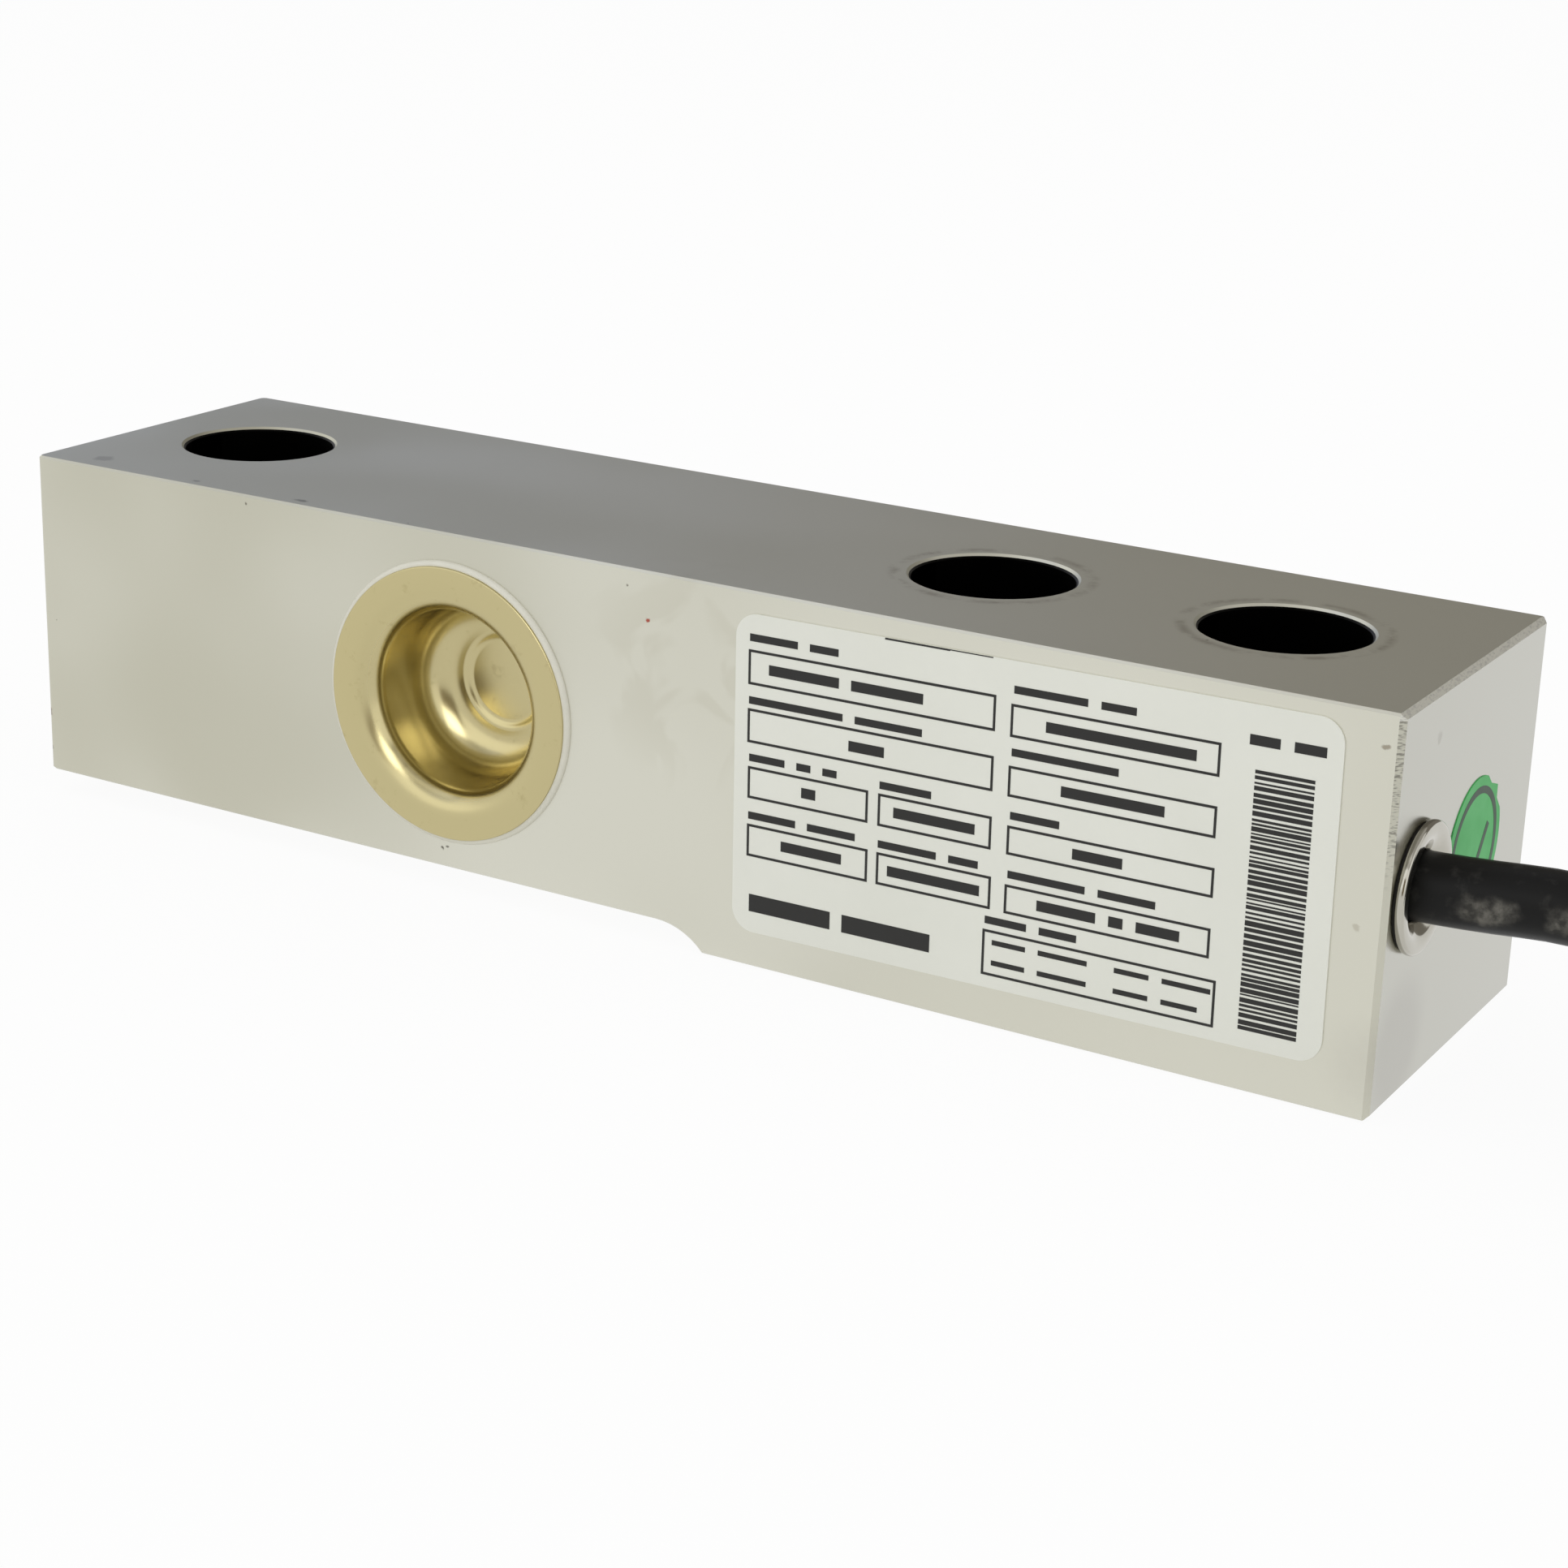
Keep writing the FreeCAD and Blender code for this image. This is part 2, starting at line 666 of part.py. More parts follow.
for label, sign in (("balance_resistor", -1), ("span_resistor", 1)):
    middle = pocket_x + size["resistor_spread"] * sign
    resistor_at = (middle - size["resistor_length"] / 2, resistor_y, board_z - size["resistor_drop"])
    keep(rod(label, resistor_at, (1, 0, 0), size["resistor_diameter"], size["resistor_length"]), label)

# Links from each gauge down to the board below it
gauge_foot = pocket_z - size["gauge_height"] / 2
for position, sign, board_height in (("front", -1, size["board_height"]), ("rear", 1, size["strip_height"])):
    board_top = board_z + board_height / 2
    wires = []
    for k in (-1, 0, 1):
        place = (
            pocket_x + size["gauge_wire_pitch"] * k,
            (web_half + size["gauge_wire_diameter"] / 2) * sign,
            board_top,
        )
        name = "%s_gauge_wire_%d" % (position, k + 2)
        wires.append(rod(name, place, (0, 0, 1), size["gauge_wire_diameter"], gauge_foot - board_top))
    group = doc.addObject("Part::Compound", position + "_gauge_wires")
    group.Links = wires
    keep(group, position + "_gauge_wires")

# Jumpers from the rear strip through the web to the front board, each at its own height
jumper = size["jumper_diameter"].value
jumper_shapes = []
for k in range(3):
    lift = size["jumper_pitch"].value * k + jumper
    rear_y = strip_face.value + lift
    front_y = -(board_face.value + lift)
    turn_angle = math.radians(90 + 120 * k)
    hole_x = web_hole_x.value + jumper * math.cos(turn_angle)
    hole_z = pocket_z.value + jumper * math.sin(turn_angle)
    pad_x = pocket_x.value - size["strip_length"].value / 2 + jumper + size["inner_pad_pitch"].value * k
    pad_z = board_z.value
    jumper_points = [
        (pad_x, strip_face.value, pad_z),
        (pad_x, rear_y, pad_z),
        (hole_x, rear_y, hole_z),
        (hole_x, front_y, hole_z),
        (pad_x, front_y, pad_z),
        (pad_x, -board_face.value, pad_z),
    ]
    jumper_shapes.append(tube_shape(jumper_points, jumper)[0])
jumpers = keep(doc.addObject("Part::Feature", "bridge_jumpers"), "bridge_jumpers")
jumpers.Shape = Part.Compound(jumper_shapes)

# The cable's conductors, from its cut end along the passage to the pads of the board
jacket_end = cable_end - size["spigot_length"]
lead_lift = board_face + size["inner_lead_diameter"] / 2
middle_wire = (len(WIRE_COLOURS) - 1) / 2
for k, colour in enumerate(("black", "red", "white", "green")):
    row_z = pocket_z + size["inner_lead_pitch"] * (k - middle_wire)
    turn_x = pocket_x + size["inner_lead_turn"] + size["inner_lead_stagger"] * (middle_wire - k)
    pad_x = pocket_x + size["inner_pad_first"] - size["inner_pad_pitch"] * k
    inner_points = [
        (jacket_end.value, passage_y.value, row_z.value),
        (turn_x.value, passage_y.value, row_z.value),
        (turn_x.value, -lead_lift.value, row_z.value),
        (pad_x.value, -lead_lift.value, (board_z + size["inner_lead_diameter"]).value),
    ]
    tube("inner_lead_" + colour, inner_points, size["inner_lead_diameter"].value)

# Rating label, stuck on slightly askew, and the torn inspection sticker on the cable end
label_middle = cable_end - size["label_end_gap"] - size["label_length"] / 2
plate = new_body("rating_label")
label_place = (label_middle, size["label_middle"], half_width)
label_sketch = new_sketch(plate, "label_outline", "XZ_Plane", label_place)
bind(label_sketch, "AttachmentOffset.Rotation.Angle", size["label_turn"])
half_length = size["label_length"] / 2
half_height = size["label_height"] / 2
inside_length = half_length - size["label_corner"]
inside_height = half_height - size["label_corner"]
outline(
    label_sketch,
    [
        (-inside_length, -half_height),
        (inside_length, -half_height),
        (half_length, -inside_height),
        (half_length, inside_height),
        (inside_length, half_height),
        (-inside_length, half_height),
        (-half_length, inside_height),
        (-half_length, -inside_height),
    ],
    {i: size["label_corner"] for i in (1, 3, 5, 7)},
)
pad(plate, label_sketch, size["label_sheet"])

dot = new_body("inspection_sticker")
sticker_y = size["sticker_inset"] - half_width
dot_sketch = new_sketch(dot, "sticker_outline", "YZ_Plane", (sticker_y, size["sticker_middle"], cable_end))
dot_radius = size["sticker_diameter"] / 2
torn = [
    (dot_radius * (share * math.cos(math.radians(a))), dot_radius * (share * math.sin(math.radians(a))))
    for a, share in TORN_EDGE
]
far_side = [(-dot_radius, ZERO), (ZERO, -dot_radius)]
outline(dot_sketch, torn + far_side, {4: dot_radius, 5: dot_radius, 6: dot_radius})
pad(dot, dot_sketch, size["sticker_sheet"])

# Cable from the bushing to the hank
tube("signal_cable", CABLE_ROUTE, size["cable_diameter"].value)

# Hank: the outer shape of the turns, with the straight stub where the cable comes in
hank = new_body("cable_hank")
hank_sketch = new_sketch(
    hank, "hank_outline", "XY_Plane", (size["hank_near_fold"], size["hank_side"], hank_bottom)
)
for mark, radius in (("out", hank_outer), ("in", hank_inner)):
    outline(
        hank_sketch,
        [
            (ZERO, -radius),
            (size["hank_straight"], -radius),
            (size["hank_straight"] + radius, ZERO),
            (size["hank_straight"], radius),
            (ZERO, radius),
            (-radius, ZERO),
        ],
        {1: radius, 2: radius, 4: radius, 5: radius},
        mark,
    )
hank_pad = pad(hank, hank_sketch, hank_height)
rounded_edges(hank, hank_pad, "hank_rounded", lambda e: e.BoundBox.ZLength < 0.01, size["hank_round"])
stub_sketch = new_sketch(
    hank,
    "hank_stub",
    "YZ_Plane",
    (
        size["hank_side"] - size["fold_radius"] - size["cable_diameter"],
        hank_bottom + cable_radius,
        size["hank_near_fold"] - size["stub_length"],
    ),
)
circle(stub_sketch, ZERO, ZERO, cable_radius, "stub")
pad(hank, stub_sketch, size["stub_length"])


# Hank ties: a strap round one leg of the hank, with its head inside the hank
def hank_tie(label, place, leg_y, sign):
    body = new_body(label)
    strap_place = (leg_y, hank_bottom, size["hank_near_fold"] + place)
    strap = new_sketch(body, label + "_strap", "YZ_Plane", strap_place)
    for mark, grow in (("in", ZERO), ("out", size["tie_sheet"])):
        half = hank_width / 2 + grow
        low = -grow
        high = hank_height + grow
        round_radius = size["hank_round"] + grow
        outline(
            strap,
            [
                (round_radius - half, low),
                (half - round_radius, low),
                (half, low + round_radius),
                (half, high - round_radius),
                (half - round_radius, high),
                (round_radius - half, high),
                (-half, high - round_radius),
                (-half, low + round_radius),
            ],
            {i: round_radius for i in (1, 3, 5, 7)},
            mark,
        )
    pad(body, strap, size["tie_width"])
    head = new_sketch(body, label + "_head", "YZ_Plane", strap_place)
    outside = (hank_width / 2 + size["tie_sheet"] / 2) * sign
    away = outside + size["tie_head_depth"] * sign
    low = hank_height / 2 - size["tie_head"] / 2
    high = hank_height / 2 + size["tie_head"] / 2
    near, far = (away, outside) if sign < 0 else (outside, away)
    outline(head, [(near, low), (far, low), (far, high), (near, high)])
    pad(body, head, size["tie_width"])


hank_tie("hank_tie_front", size["tie_near_place"], front_leg, 1)
hank_tie("hank_tie_rear", size["tie_far_place"], rear_leg, -1)

# Far end of the cable, lying on the hank: tail, shrink sleeve, four leads and the drain wire
tail_start = size["hank_near_fold"] + size["tail_place"]
tail_at = (tail_start, rear_leg, hank_top + cable_radius)
keep(rod("cable_tail", tail_at, (-1, 0, 0), size["cable_diameter"], size["tail_length"]), "cable_tail")
sleeve_start = tail_start - size["tail_length"]
sleeve_z = hank_top + size["sleeve_diameter"] / 2
sleeve_at = (sleeve_start, rear_leg, sleeve_z)
keep(rod("end_sleeve", sleeve_at, (-1, 0, 0), size["sleeve_diameter"], size["sleeve_length"]), "end_sleeve")
leads_start = (sleeve_start - size["sleeve_length"]).value
lead_radius = size["lead_diameter"].value / 2
bundle = size["lead_bundle"].value
straight_x = leads_start - size["lead_straight"].value
spread_x = leads_start - size["lead_spread"].value
landing_x = leads_start - size["lead_landing"].value
rest_z = hank_top.value + lead_radius
sway = lead_radius / 6
for k, colour in enumerate(WIRE_COLOURS):
    lane = rear_leg.value + size["lead_pitch"].value * (k - middle_wire)
    out_y = rear_leg.value + bundle * (1 if k > middle_wire else -1)
    out_z = sleeve_z.value + bundle * (1 if abs(k - middle_wire) < 1 else -1)
    tip_x = leads_start - size["lead_%s_length" % colour].value + size["lead_tip_length"].value
    lead_points = [
        (leads_start, out_y, out_z),
        (straight_x, out_y, out_z),
        (spread_x, lane, (out_z + 2 * rest_z) / 3),
        (landing_x, lane - sway, rest_z),
        (tip_x, lane, rest_z),
    ]
    body_shape = tube_shape(lead_points, size["lead_diameter"].value)[0]
    tip_shape = Part.makeCylinder(
        size["lead_tip_diameter"].value / 2,
        size["lead_tip_length"].value,
        FreeCAD.Vector(*lead_points[-1]),
        FreeCAD.Vector(-1, 0, 0),
    )
    lead = keep(doc.addObject("Part::Feature", "lead_" + colour), "lead_" + colour)
    lead.Shape = body_shape.fuse(tip_shape).removeSplitter()
drain_radius = size["drain_diameter"].value / 2
drain_out = sleeve_z.value + bundle + lead_radius + drain_radius
drain_rest = hank_top.value + size["lead_diameter"].value + drain_radius
drain_points = [
    (leads_start, rear_leg.value, drain_out),
    (straight_x, rear_leg.value, drain_out),
    (leads_start - size["drain_fall"].value, rear_leg.value + sway, drain_rest + drain_radius),
    (leads_start - size["drain_length"].value, rear_leg.value, drain_rest),
]
tube("shield_drain", drain_points, size["drain_diameter"].value)

doc.recompute()
for item in doc.Objects:
    if {"Invalid", "Error"} & set(item.State):
        raise RuntimeError("%s failed: %s" % (item.Name, item.State))
for item in parts:
    if item.Shape.isNull() or not item.Shape.isValid():
        raise RuntimeError("%s has no valid shape" % item.Label)

os.makedirs("parts", exist_ok=True)
for item in parts:
    item.Shape.exportStep("parts/%s.step" % item.Label)
    print("%s: %d solid(s), %.2f mm3" % (item.Label, len(item.Shape.Solids), item.Shape.Volume))
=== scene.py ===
import bpy
import math
import numpy as np
from mathutils import Matrix


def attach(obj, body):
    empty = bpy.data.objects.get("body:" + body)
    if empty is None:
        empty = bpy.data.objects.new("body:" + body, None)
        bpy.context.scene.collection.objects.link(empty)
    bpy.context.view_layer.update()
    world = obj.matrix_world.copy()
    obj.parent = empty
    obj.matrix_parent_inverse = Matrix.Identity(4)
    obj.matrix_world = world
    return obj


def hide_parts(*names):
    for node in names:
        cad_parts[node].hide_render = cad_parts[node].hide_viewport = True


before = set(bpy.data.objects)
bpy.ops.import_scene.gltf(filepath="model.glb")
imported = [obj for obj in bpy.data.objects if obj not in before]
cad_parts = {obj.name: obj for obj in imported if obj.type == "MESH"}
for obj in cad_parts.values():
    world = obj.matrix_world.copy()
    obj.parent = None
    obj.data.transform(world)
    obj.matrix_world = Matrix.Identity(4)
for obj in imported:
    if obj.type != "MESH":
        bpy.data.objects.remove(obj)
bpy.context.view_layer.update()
mm = 0.001
turnedSides = 160
print("frame loaded with", len(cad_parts), "nodes")


def linear(hexText):
    # sRGB hex to linear light, opaque
    part = np.array([int(hexText[i:i + 2], 16) for i in (1, 3, 5)]) / 255
    curve = ((part + 0.055) / 1.055) ** 2.4
    return (*np.where(part <= 0.04045, part / 12.92, curve).tolist(), 1.0)


def cycles(sizeMm):
    # how often a pattern of that size repeats in a metre
    return 1 / (sizeMm * mm)


def plug(tree, node, inputs):
    # an input takes a value, or another node's output
    for name, value in inputs.items():
        if isinstance(value, bpy.types.NodeSocket):
            tree.links.new(value, node.inputs[name])
        else:
            node.inputs[name].default_value = value


def addNode(tree, kind, inputs, **settings):
    # one node with its settings and links
    node = tree.nodes.new(kind)
    for name, value in settings.items():
        setattr(node, name, value)
    plug(tree, node, inputs)
    return node


def newMaterial(name, inputs):
    material = bpy.data.materials.new(name)
    material.use_nodes = True
    tree = material.node_tree
    tree.nodes.clear()
    shader = addNode(tree, "ShaderNodeBsdfPrincipled", inputs)
    addNode(tree, "ShaderNodeOutputMaterial", {"Surface": shader.outputs[0]})
    place = addNode(tree, "ShaderNodeTexCoord", {})
    return material, tree, shader, place


def dress(material, *nodeNames):
    # a CAD node keeps its mesh and takes this finish
    for nodeName in nodeNames:
        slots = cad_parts[nodeName].data.materials
        slots.clear()
        slots.append(material)


def meshPiece(name, points, faces, material, sharpAngle=32):
    # faces are turned outwards by the sign of the volume they enclose
    points = np.asarray(points, float).reshape(-1, 3)
    corner = [points[[face[i] for face in faces]] for i in range(3)]
    volume = np.einsum("ij,ij->", corner[0], np.cross(corner[1], corner[2]))
    if volume < 0:
        faces = [face[::-1] for face in faces]
    mesh = bpy.data.meshes.new(name)
    mesh.from_pydata(points.tolist(), [], faces)
    mesh.polygons.foreach_set("use_smooth", np.ones(len(faces), bool))
    mesh.set_sharp_from_angle(angle=math.radians(sharpAngle))
    mesh.materials.append(material)
    piece = bpy.data.objects.new(name, mesh)
    bpy.context.scene.collection.objects.link(piece)
    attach(piece, "root")
    return piece


def gridFaces(rows, columns, closedRows):
    # quads between neighbouring points; columns always close, rows where asked
    row = np.arange(rows if closedRows else rows - 1)[:, None]
    column = np.arange(columns)[None, :]
    nextRow = (row + 1) % rows
    nextColumn = (column + 1) % columns
    quads = [row * columns + column, nextRow * columns + column]
    quads += [nextRow * columns + nextColumn, row * columns + nextColumn]
    return np.stack(np.broadcast_arrays(*quads), -1).reshape(-1, 4).tolist()


def arc(centre, radius, startAngle, endAngle, count):
    # points on a circle, angles in degrees
    angle = np.radians(np.linspace(startAngle, endAngle, count))
    return np.stack([centre[0] + radius * np.cos(angle), centre[1] + radius * np.sin(angle)], 1)


def turnedPoints(profile, place, along, sides):
    # radius times cosine and sine across the axis, height along it
    along = np.array(along, float)
    across = np.array([0, 0, 1.0])
    third = np.cross(along, across)
    angle = np.linspace(0, 2 * np.pi, sides, endpoint=False)[None, :, None]
    radius = profile[:, 0][:, None, None]
    height = profile[:, 1][:, None, None]
    ring = radius * (np.cos(angle) * across + np.sin(angle) * third)
    return (np.array(place) + ring + height * along) * mm


def turnedRing(name, profile, place, along, material, sides=turnedSides):
    # a closed profile that stays off the axis
    points = turnedPoints(profile, place, along, sides)
    return meshPiece(name, points, gridFaces(len(profile), sides, True), material)


def turnedShell(name, profile, place, along, material, sides=turnedSides):
    # a profile that starts and ends on the axis, each end closed by a fan
    points = turnedPoints(profile[1:-1], place, along, sides).reshape(-1, 3)
    rows = len(profile) - 2
    poles = (np.array(place) + np.outer(profile[[0, -1], 1], along)) * mm
    faces = gridFaces(rows, sides, False)
    first = np.arange(sides)
    after = (first + 1) % sides
    last = (rows - 1) * sides
    faces += np.stack([np.full(sides, rows * sides), first, after], 1).tolist()
    faces += np.stack([np.full(sides, rows * sides + 1), last + after, last + first], 1).tolist()
    return meshPiece(name, np.concatenate([points, poles]), faces, material)


def ruffled(tree, spot, edgeMm):
    # places pushed about by a cloud of that size, so that round marks get ragged edges
    cloud = addNode(tree, "ShaderNodeTexNoise", {
        "Vector": spot, "Scale": cycles(edgeMm), "Detail": 3.0})
    push = addNode(tree, "ShaderNodeVectorMath", {
        0: cloud.outputs[1], 1: (0.5, 0.5, 0.5)}, operation="SUBTRACT")  # a cloud's mean is a half
    moved = addNode(tree, "ShaderNodeVectorMath", {
        0: push.outputs[0], 1: [edgeMm * mm] * 3, 2: spot}, operation="MULTIPLY_ADD")
    return moved.outputs[0]


def markShare(tree, where, mark, core=0.4):
    # full in the core of the mark and none at its edge; a long mark is stretched along the beam
    middle = [v * mm for v in mark["place"]]
    edge = mark["radius"] * mm
    squeeze = (1 / mark.get("long", 1.0), 1.0, 1.0)
    away = addNode(tree, "ShaderNodeVectorMath", {0: where, 1: middle}, operation="SUBTRACT")
    flat = addNode(tree, "ShaderNodeVectorMath", {0: away.outputs[0], 1: squeeze}, operation="MULTIPLY")
    reach = addNode(tree, "ShaderNodeVectorMath", {0: flat.outputs[0]}, operation="LENGTH")
    share = addNode(tree, "ShaderNodeMapRange", {
        "Value": reach.outputs["Value"], "From Min": core * edge, "From Max": edge,
        "To Min": mark["share"], "To Max": 0.0}, interpolation_type="SMOOTHSTEP")
    return share.outputs[0]


# Nickel-plated machined steel: a warm satin grey, faintly blotched; painted shade darkens it towards the load
# end, a little on the cable end, and to near black in the drilled bores
# places and sizes in mm; each Show pair is where a cloud starts to show and where it shows in full
nickel = {
    "plate": "#d7d6c9",
    "roughness": (0.34, 0.44),
    "grainMm": 0.35,
    "grainBump": 0.05,
    "grainDepthMm": 0.02,
    "tarnishAndShade": "#c2c0af",
    # painted shade: the tarnish colour ramps in along the beam, darkest at the load end
    "paintedShadeAlong": (-100, 10),
    "paintedShadeLeast": 0.15,
    "blotchMm": 34,
    "blotchShow": (0.34, 0.66),
    "wipe": "#c2bfae",
    "wipeMm": 8,
    "wipeShow": (0.47, 0.62),
    "wiped": {"place": (-32.0, -15.9, 24.0), "radius": 12.0, "share": 0.3},
    # partly painted shade: the face pointing along +x is coloured darker, partly for its duller milled finish
    "cutEndFinishAndShade": "#bcbbb2",
    "cutEndFacing": 0.95,
    "cutEndPolish": -0.18,
    # painted shade: the drilled bores are coloured near black for the shade inside them
    "bore": "#0b0a09",
    "boreRadius": 7.05,
    "boreTop": 31.55,
    "holePitch": 25.4,
    "washerMark": "#8d8471",
    "washerRadius": 8.1,
    "washerWidth": 0.75,
    "washerFrom": -26,
    "washerMm": 2.6,
    "washerShow": (0.42, 0.62),
    "washerShare": 0.5,
    "fleck": "#5a5347",
    "fleckMm": 5.5,
    "fleckRagged": 0.06,
    "fleckEdge": (0.04, 0.055),
    "fleckShare": 0.7,
    "bevelFacing": (0.7, 0.2),
    "bevelFrom": 27,
    "bevelRough": 0.2,
    "burr": "#77746c",
    "burrMm": 0.13,
    "burrStretch": (0.2, 0.3, 1.0),
    "burrShow": (0.48, 0.68),
    "burrShare": 0.7,
    "burrHeights": (18, 23),
    # painted highlight: the top broken edge is coloured pale where it should catch the light
    "topEdgeHighlight": "#f2f1ea",
    "topEdgeHighlightShare": 0.6,
    "topEdgeHighlightAbove": 31.2,
    "stainEdgeMm": 0.7,
    "stainsAndShade": [
        {"place": (-35.8, -15.9, 27.7), "radius": 0.26, "share": 0.9, "colour": "#a5402f"},
        {"place": (-101.3, -15.6, 7.6), "radius": 0.42, "share": 0.7, "colour": "#64432f"},
        {"place": (-101.3, -15.6, 4.0), "radius": 0.34, "share": 0.7, "colour": "#54463a"},
        {"place": (-56.4, -15.9, 3.6), "radius": 0.26, "share": 0.8, "colour": "#4b463c"},
        {"place": (-55.8, -15.9, 3.9), "radius": 0.20, "share": 0.7, "colour": "#4b463c"},
        {"place": (27.2, -15.9, 29.1), "radius": 0.28, "share": 0.6, "colour": "#75654c", "long": 1.6},
        {"place": (26.2, -15.9, 15.1), "radius": 0.30, "share": 0.3, "colour": "#8a7c62", "long": 1.5},
        {"place": (-96.0, -13.1, 31.75), "radius": 1.20, "share": 0.35, "colour": "#6b675e"},
        {"place": (-72.3, -14.6, 31.75), "radius": 0.50, "share": 0.6, "colour": "#57534a", "long": 2.0},
        {"place": (-84.0, -14.6, 31.75), "radius": 0.40, "share": 0.5, "colour": "#57534a", "long": 1.5},
        # painted shade: a broad soft darkening low on the cable end, not a stain
        {"place": (28.4, -11.0, 4.5), "radius": 7.0, "share": 0.25, "colour": "#8f8b86"},
        {"place": (28.4, -8.0, 28.0), "radius": 0.70, "share": 0.3, "colour": "#8a867c"},
    ],
}


def nickelSteel():
    material, tree, shader, place = newMaterial("nickelPlatedSteelSatin", {"Metallic": 1.0})
    spot = place.outputs["Object"]
    part = addNode(tree, "ShaderNodeSeparateXYZ", {0: spot})
    normal = addNode(tree, "ShaderNodeSeparateXYZ", {0: place.outputs["Normal"]})
    blotch = addNode(tree, "ShaderNodeTexNoise", {
        "Vector": spot, "Scale": cycles(nickel["blotchMm"]), "Detail": 1.5, "Roughness": 0.45})
    grain = addNode(tree, "ShaderNodeTexNoise", {
        "Vector": spot, "Scale": cycles(nickel["grainMm"]), "Detail": 2.0})
    # broad tarnish in blotches, with painted shade that makes it most at the load end and least by the cable
    starts, full = nickel["blotchShow"]
    cloud = addNode(tree, "ShaderNodeMapRange", {
        "Value": blotch.outputs[0], "From Min": starts, "From Max": full}, interpolation_type="SMOOTHSTEP")
    loadEnd, cableEnd = nickel["paintedShadeAlong"]
    loadEndShade = addNode(tree, "ShaderNodeMapRange", {
        "Value": part.outputs[0], "From Min": loadEnd * mm, "From Max": cableEnd * mm,
        "To Min": 1.0, "To Max": nickel["paintedShadeLeast"]})
    tarnishAndShade = addNode(tree, "ShaderNodeMath", {
        0: cloud.outputs[0], 1: loadEndShade.outputs[0]}, operation="MULTIPLY")
    colour = addNode(tree, "ShaderNodeMix", {
        0: tarnishAndShade.outputs[0], 6: linear(nickel["plate"]), 7: linear(nickel["tarnishAndShade"])}, data_type="RGBA")
    # faint edges where one patch was wiped
    swirl = addNode(tree, "ShaderNodeTexNoise", {
        "Vector": spot, "Scale": cycles(nickel["wipeMm"]), "Detail": 2.0, "Distortion": 1.6})
    starts, full = nickel["wipeShow"]
    wipe = addNode(tree, "ShaderNodeMapRange", {
        "Value": swirl.outputs[0], "From Min": starts, "From Max": full}, interpolation_type="SMOOTHSTEP")
    wiped = addNode(tree, "ShaderNodeMath", {
        0: wipe.outputs[0], 1: markShare(tree, spot, nickel["wiped"])}, operation="MULTIPLY")
    colour = addNode(tree, "ShaderNodeMix", {
        0: wiped.outputs[0], 6: colour.outputs[2], 7: linear(nickel["wipe"])}, data_type="RGBA")
    # the milled cable end is smoother; its colour is a shade darker, partly its duller finish and partly
    # painted shade
    cutEndFinishAndShade = addNode(tree, "ShaderNodeMath", {
        0: normal.outputs[0], 1: nickel["cutEndFacing"]}, operation="GREATER_THAN")
    colour = addNode(tree, "ShaderNodeMix", {
        0: cutEndFinishAndShade.outputs[0], 6: colour.outputs[2], 7: linear(nickel["cutEndFinishAndShade"])}, data_type="RGBA")
    # distance from the nearest hole axis: the holes stand on one even pitch
    along = addNode(tree, "ShaderNodeMath", {
        0: part.outputs[0], 1: 0.0, 2: nickel["holePitch"] * mm}, operation="WRAP")
    offset = addNode(tree, "ShaderNodeMath", {
        0: along.outputs[0], 1: nickel["holePitch"] / 2 * mm}, operation="SUBTRACT")
    flat = addNode(tree, "ShaderNodeCombineXYZ", {0: offset.outputs[0], 1: part.outputs[1]})
    reach = addNode(tree, "ShaderNodeVectorMath", {0: flat.outputs[0]}, operation="LENGTH")
    inBore = addNode(tree, "ShaderNodeMath", {
        0: reach.outputs["Value"], 1: nickel["boreRadius"] * mm}, operation="LESS_THAN")
    below = addNode(tree, "ShaderNodeMath", {
        0: part.outputs[2], 1: nickel["boreTop"] * mm}, operation="LESS_THAN")
    bore = addNode(tree, "ShaderNodeMath", {0: inBore.outputs[0], 1: below.outputs[0]}, operation="MULTIPLY")
    # worn ring that a washer left round each mounting hole
    apart = addNode(tree, "ShaderNodeMath", {
        0: reach.outputs["Value"], 1: nickel["washerRadius"] * mm}, operation="SUBTRACT")
    near = addNode(tree, "ShaderNodeMath", {0: apart.outputs[0]}, operation="ABSOLUTE")
    ring = addNode(tree, "ShaderNodeMapRange", {
        "Value": near.outputs[0], "From Max": nickel["washerWidth"] * mm, "To Min": 1.0, "To Max": 0.0},
        interpolation_type="SMOOTHSTEP")
    mounted = addNode(tree, "ShaderNodeMath", {
        0: part.outputs[0], 1: nickel["washerFrom"] * mm}, operation="GREATER_THAN")
    patchy = addNode(tree, "ShaderNodeTexNoise", {
        "Vector": spot, "Scale": cycles(nickel["washerMm"]), "Detail": 4.0, "Roughness": 0.65})
    starts, full = nickel["washerShow"]
    worn = addNode(tree, "ShaderNodeMapRange", {
        "Value": patchy.outputs[0], "From Min": starts, "From Max": full, "To Max": nickel["washerShare"]})
    ringed = addNode(tree, "ShaderNodeMath", {
        0: ring.outputs[0], 1: mounted.outputs[0]}, operation="MULTIPLY")
    mark = addNode(tree, "ShaderNodeMath", {0: ringed.outputs[0], 1: worn.outputs[0]}, operation="MULTIPLY")
    colour = addNode(tree, "ShaderNodeMix", {
        0: mark.outputs[0], 6: colour.outputs[2], 7: linear(nickel["washerMark"])}, data_type="RGBA")
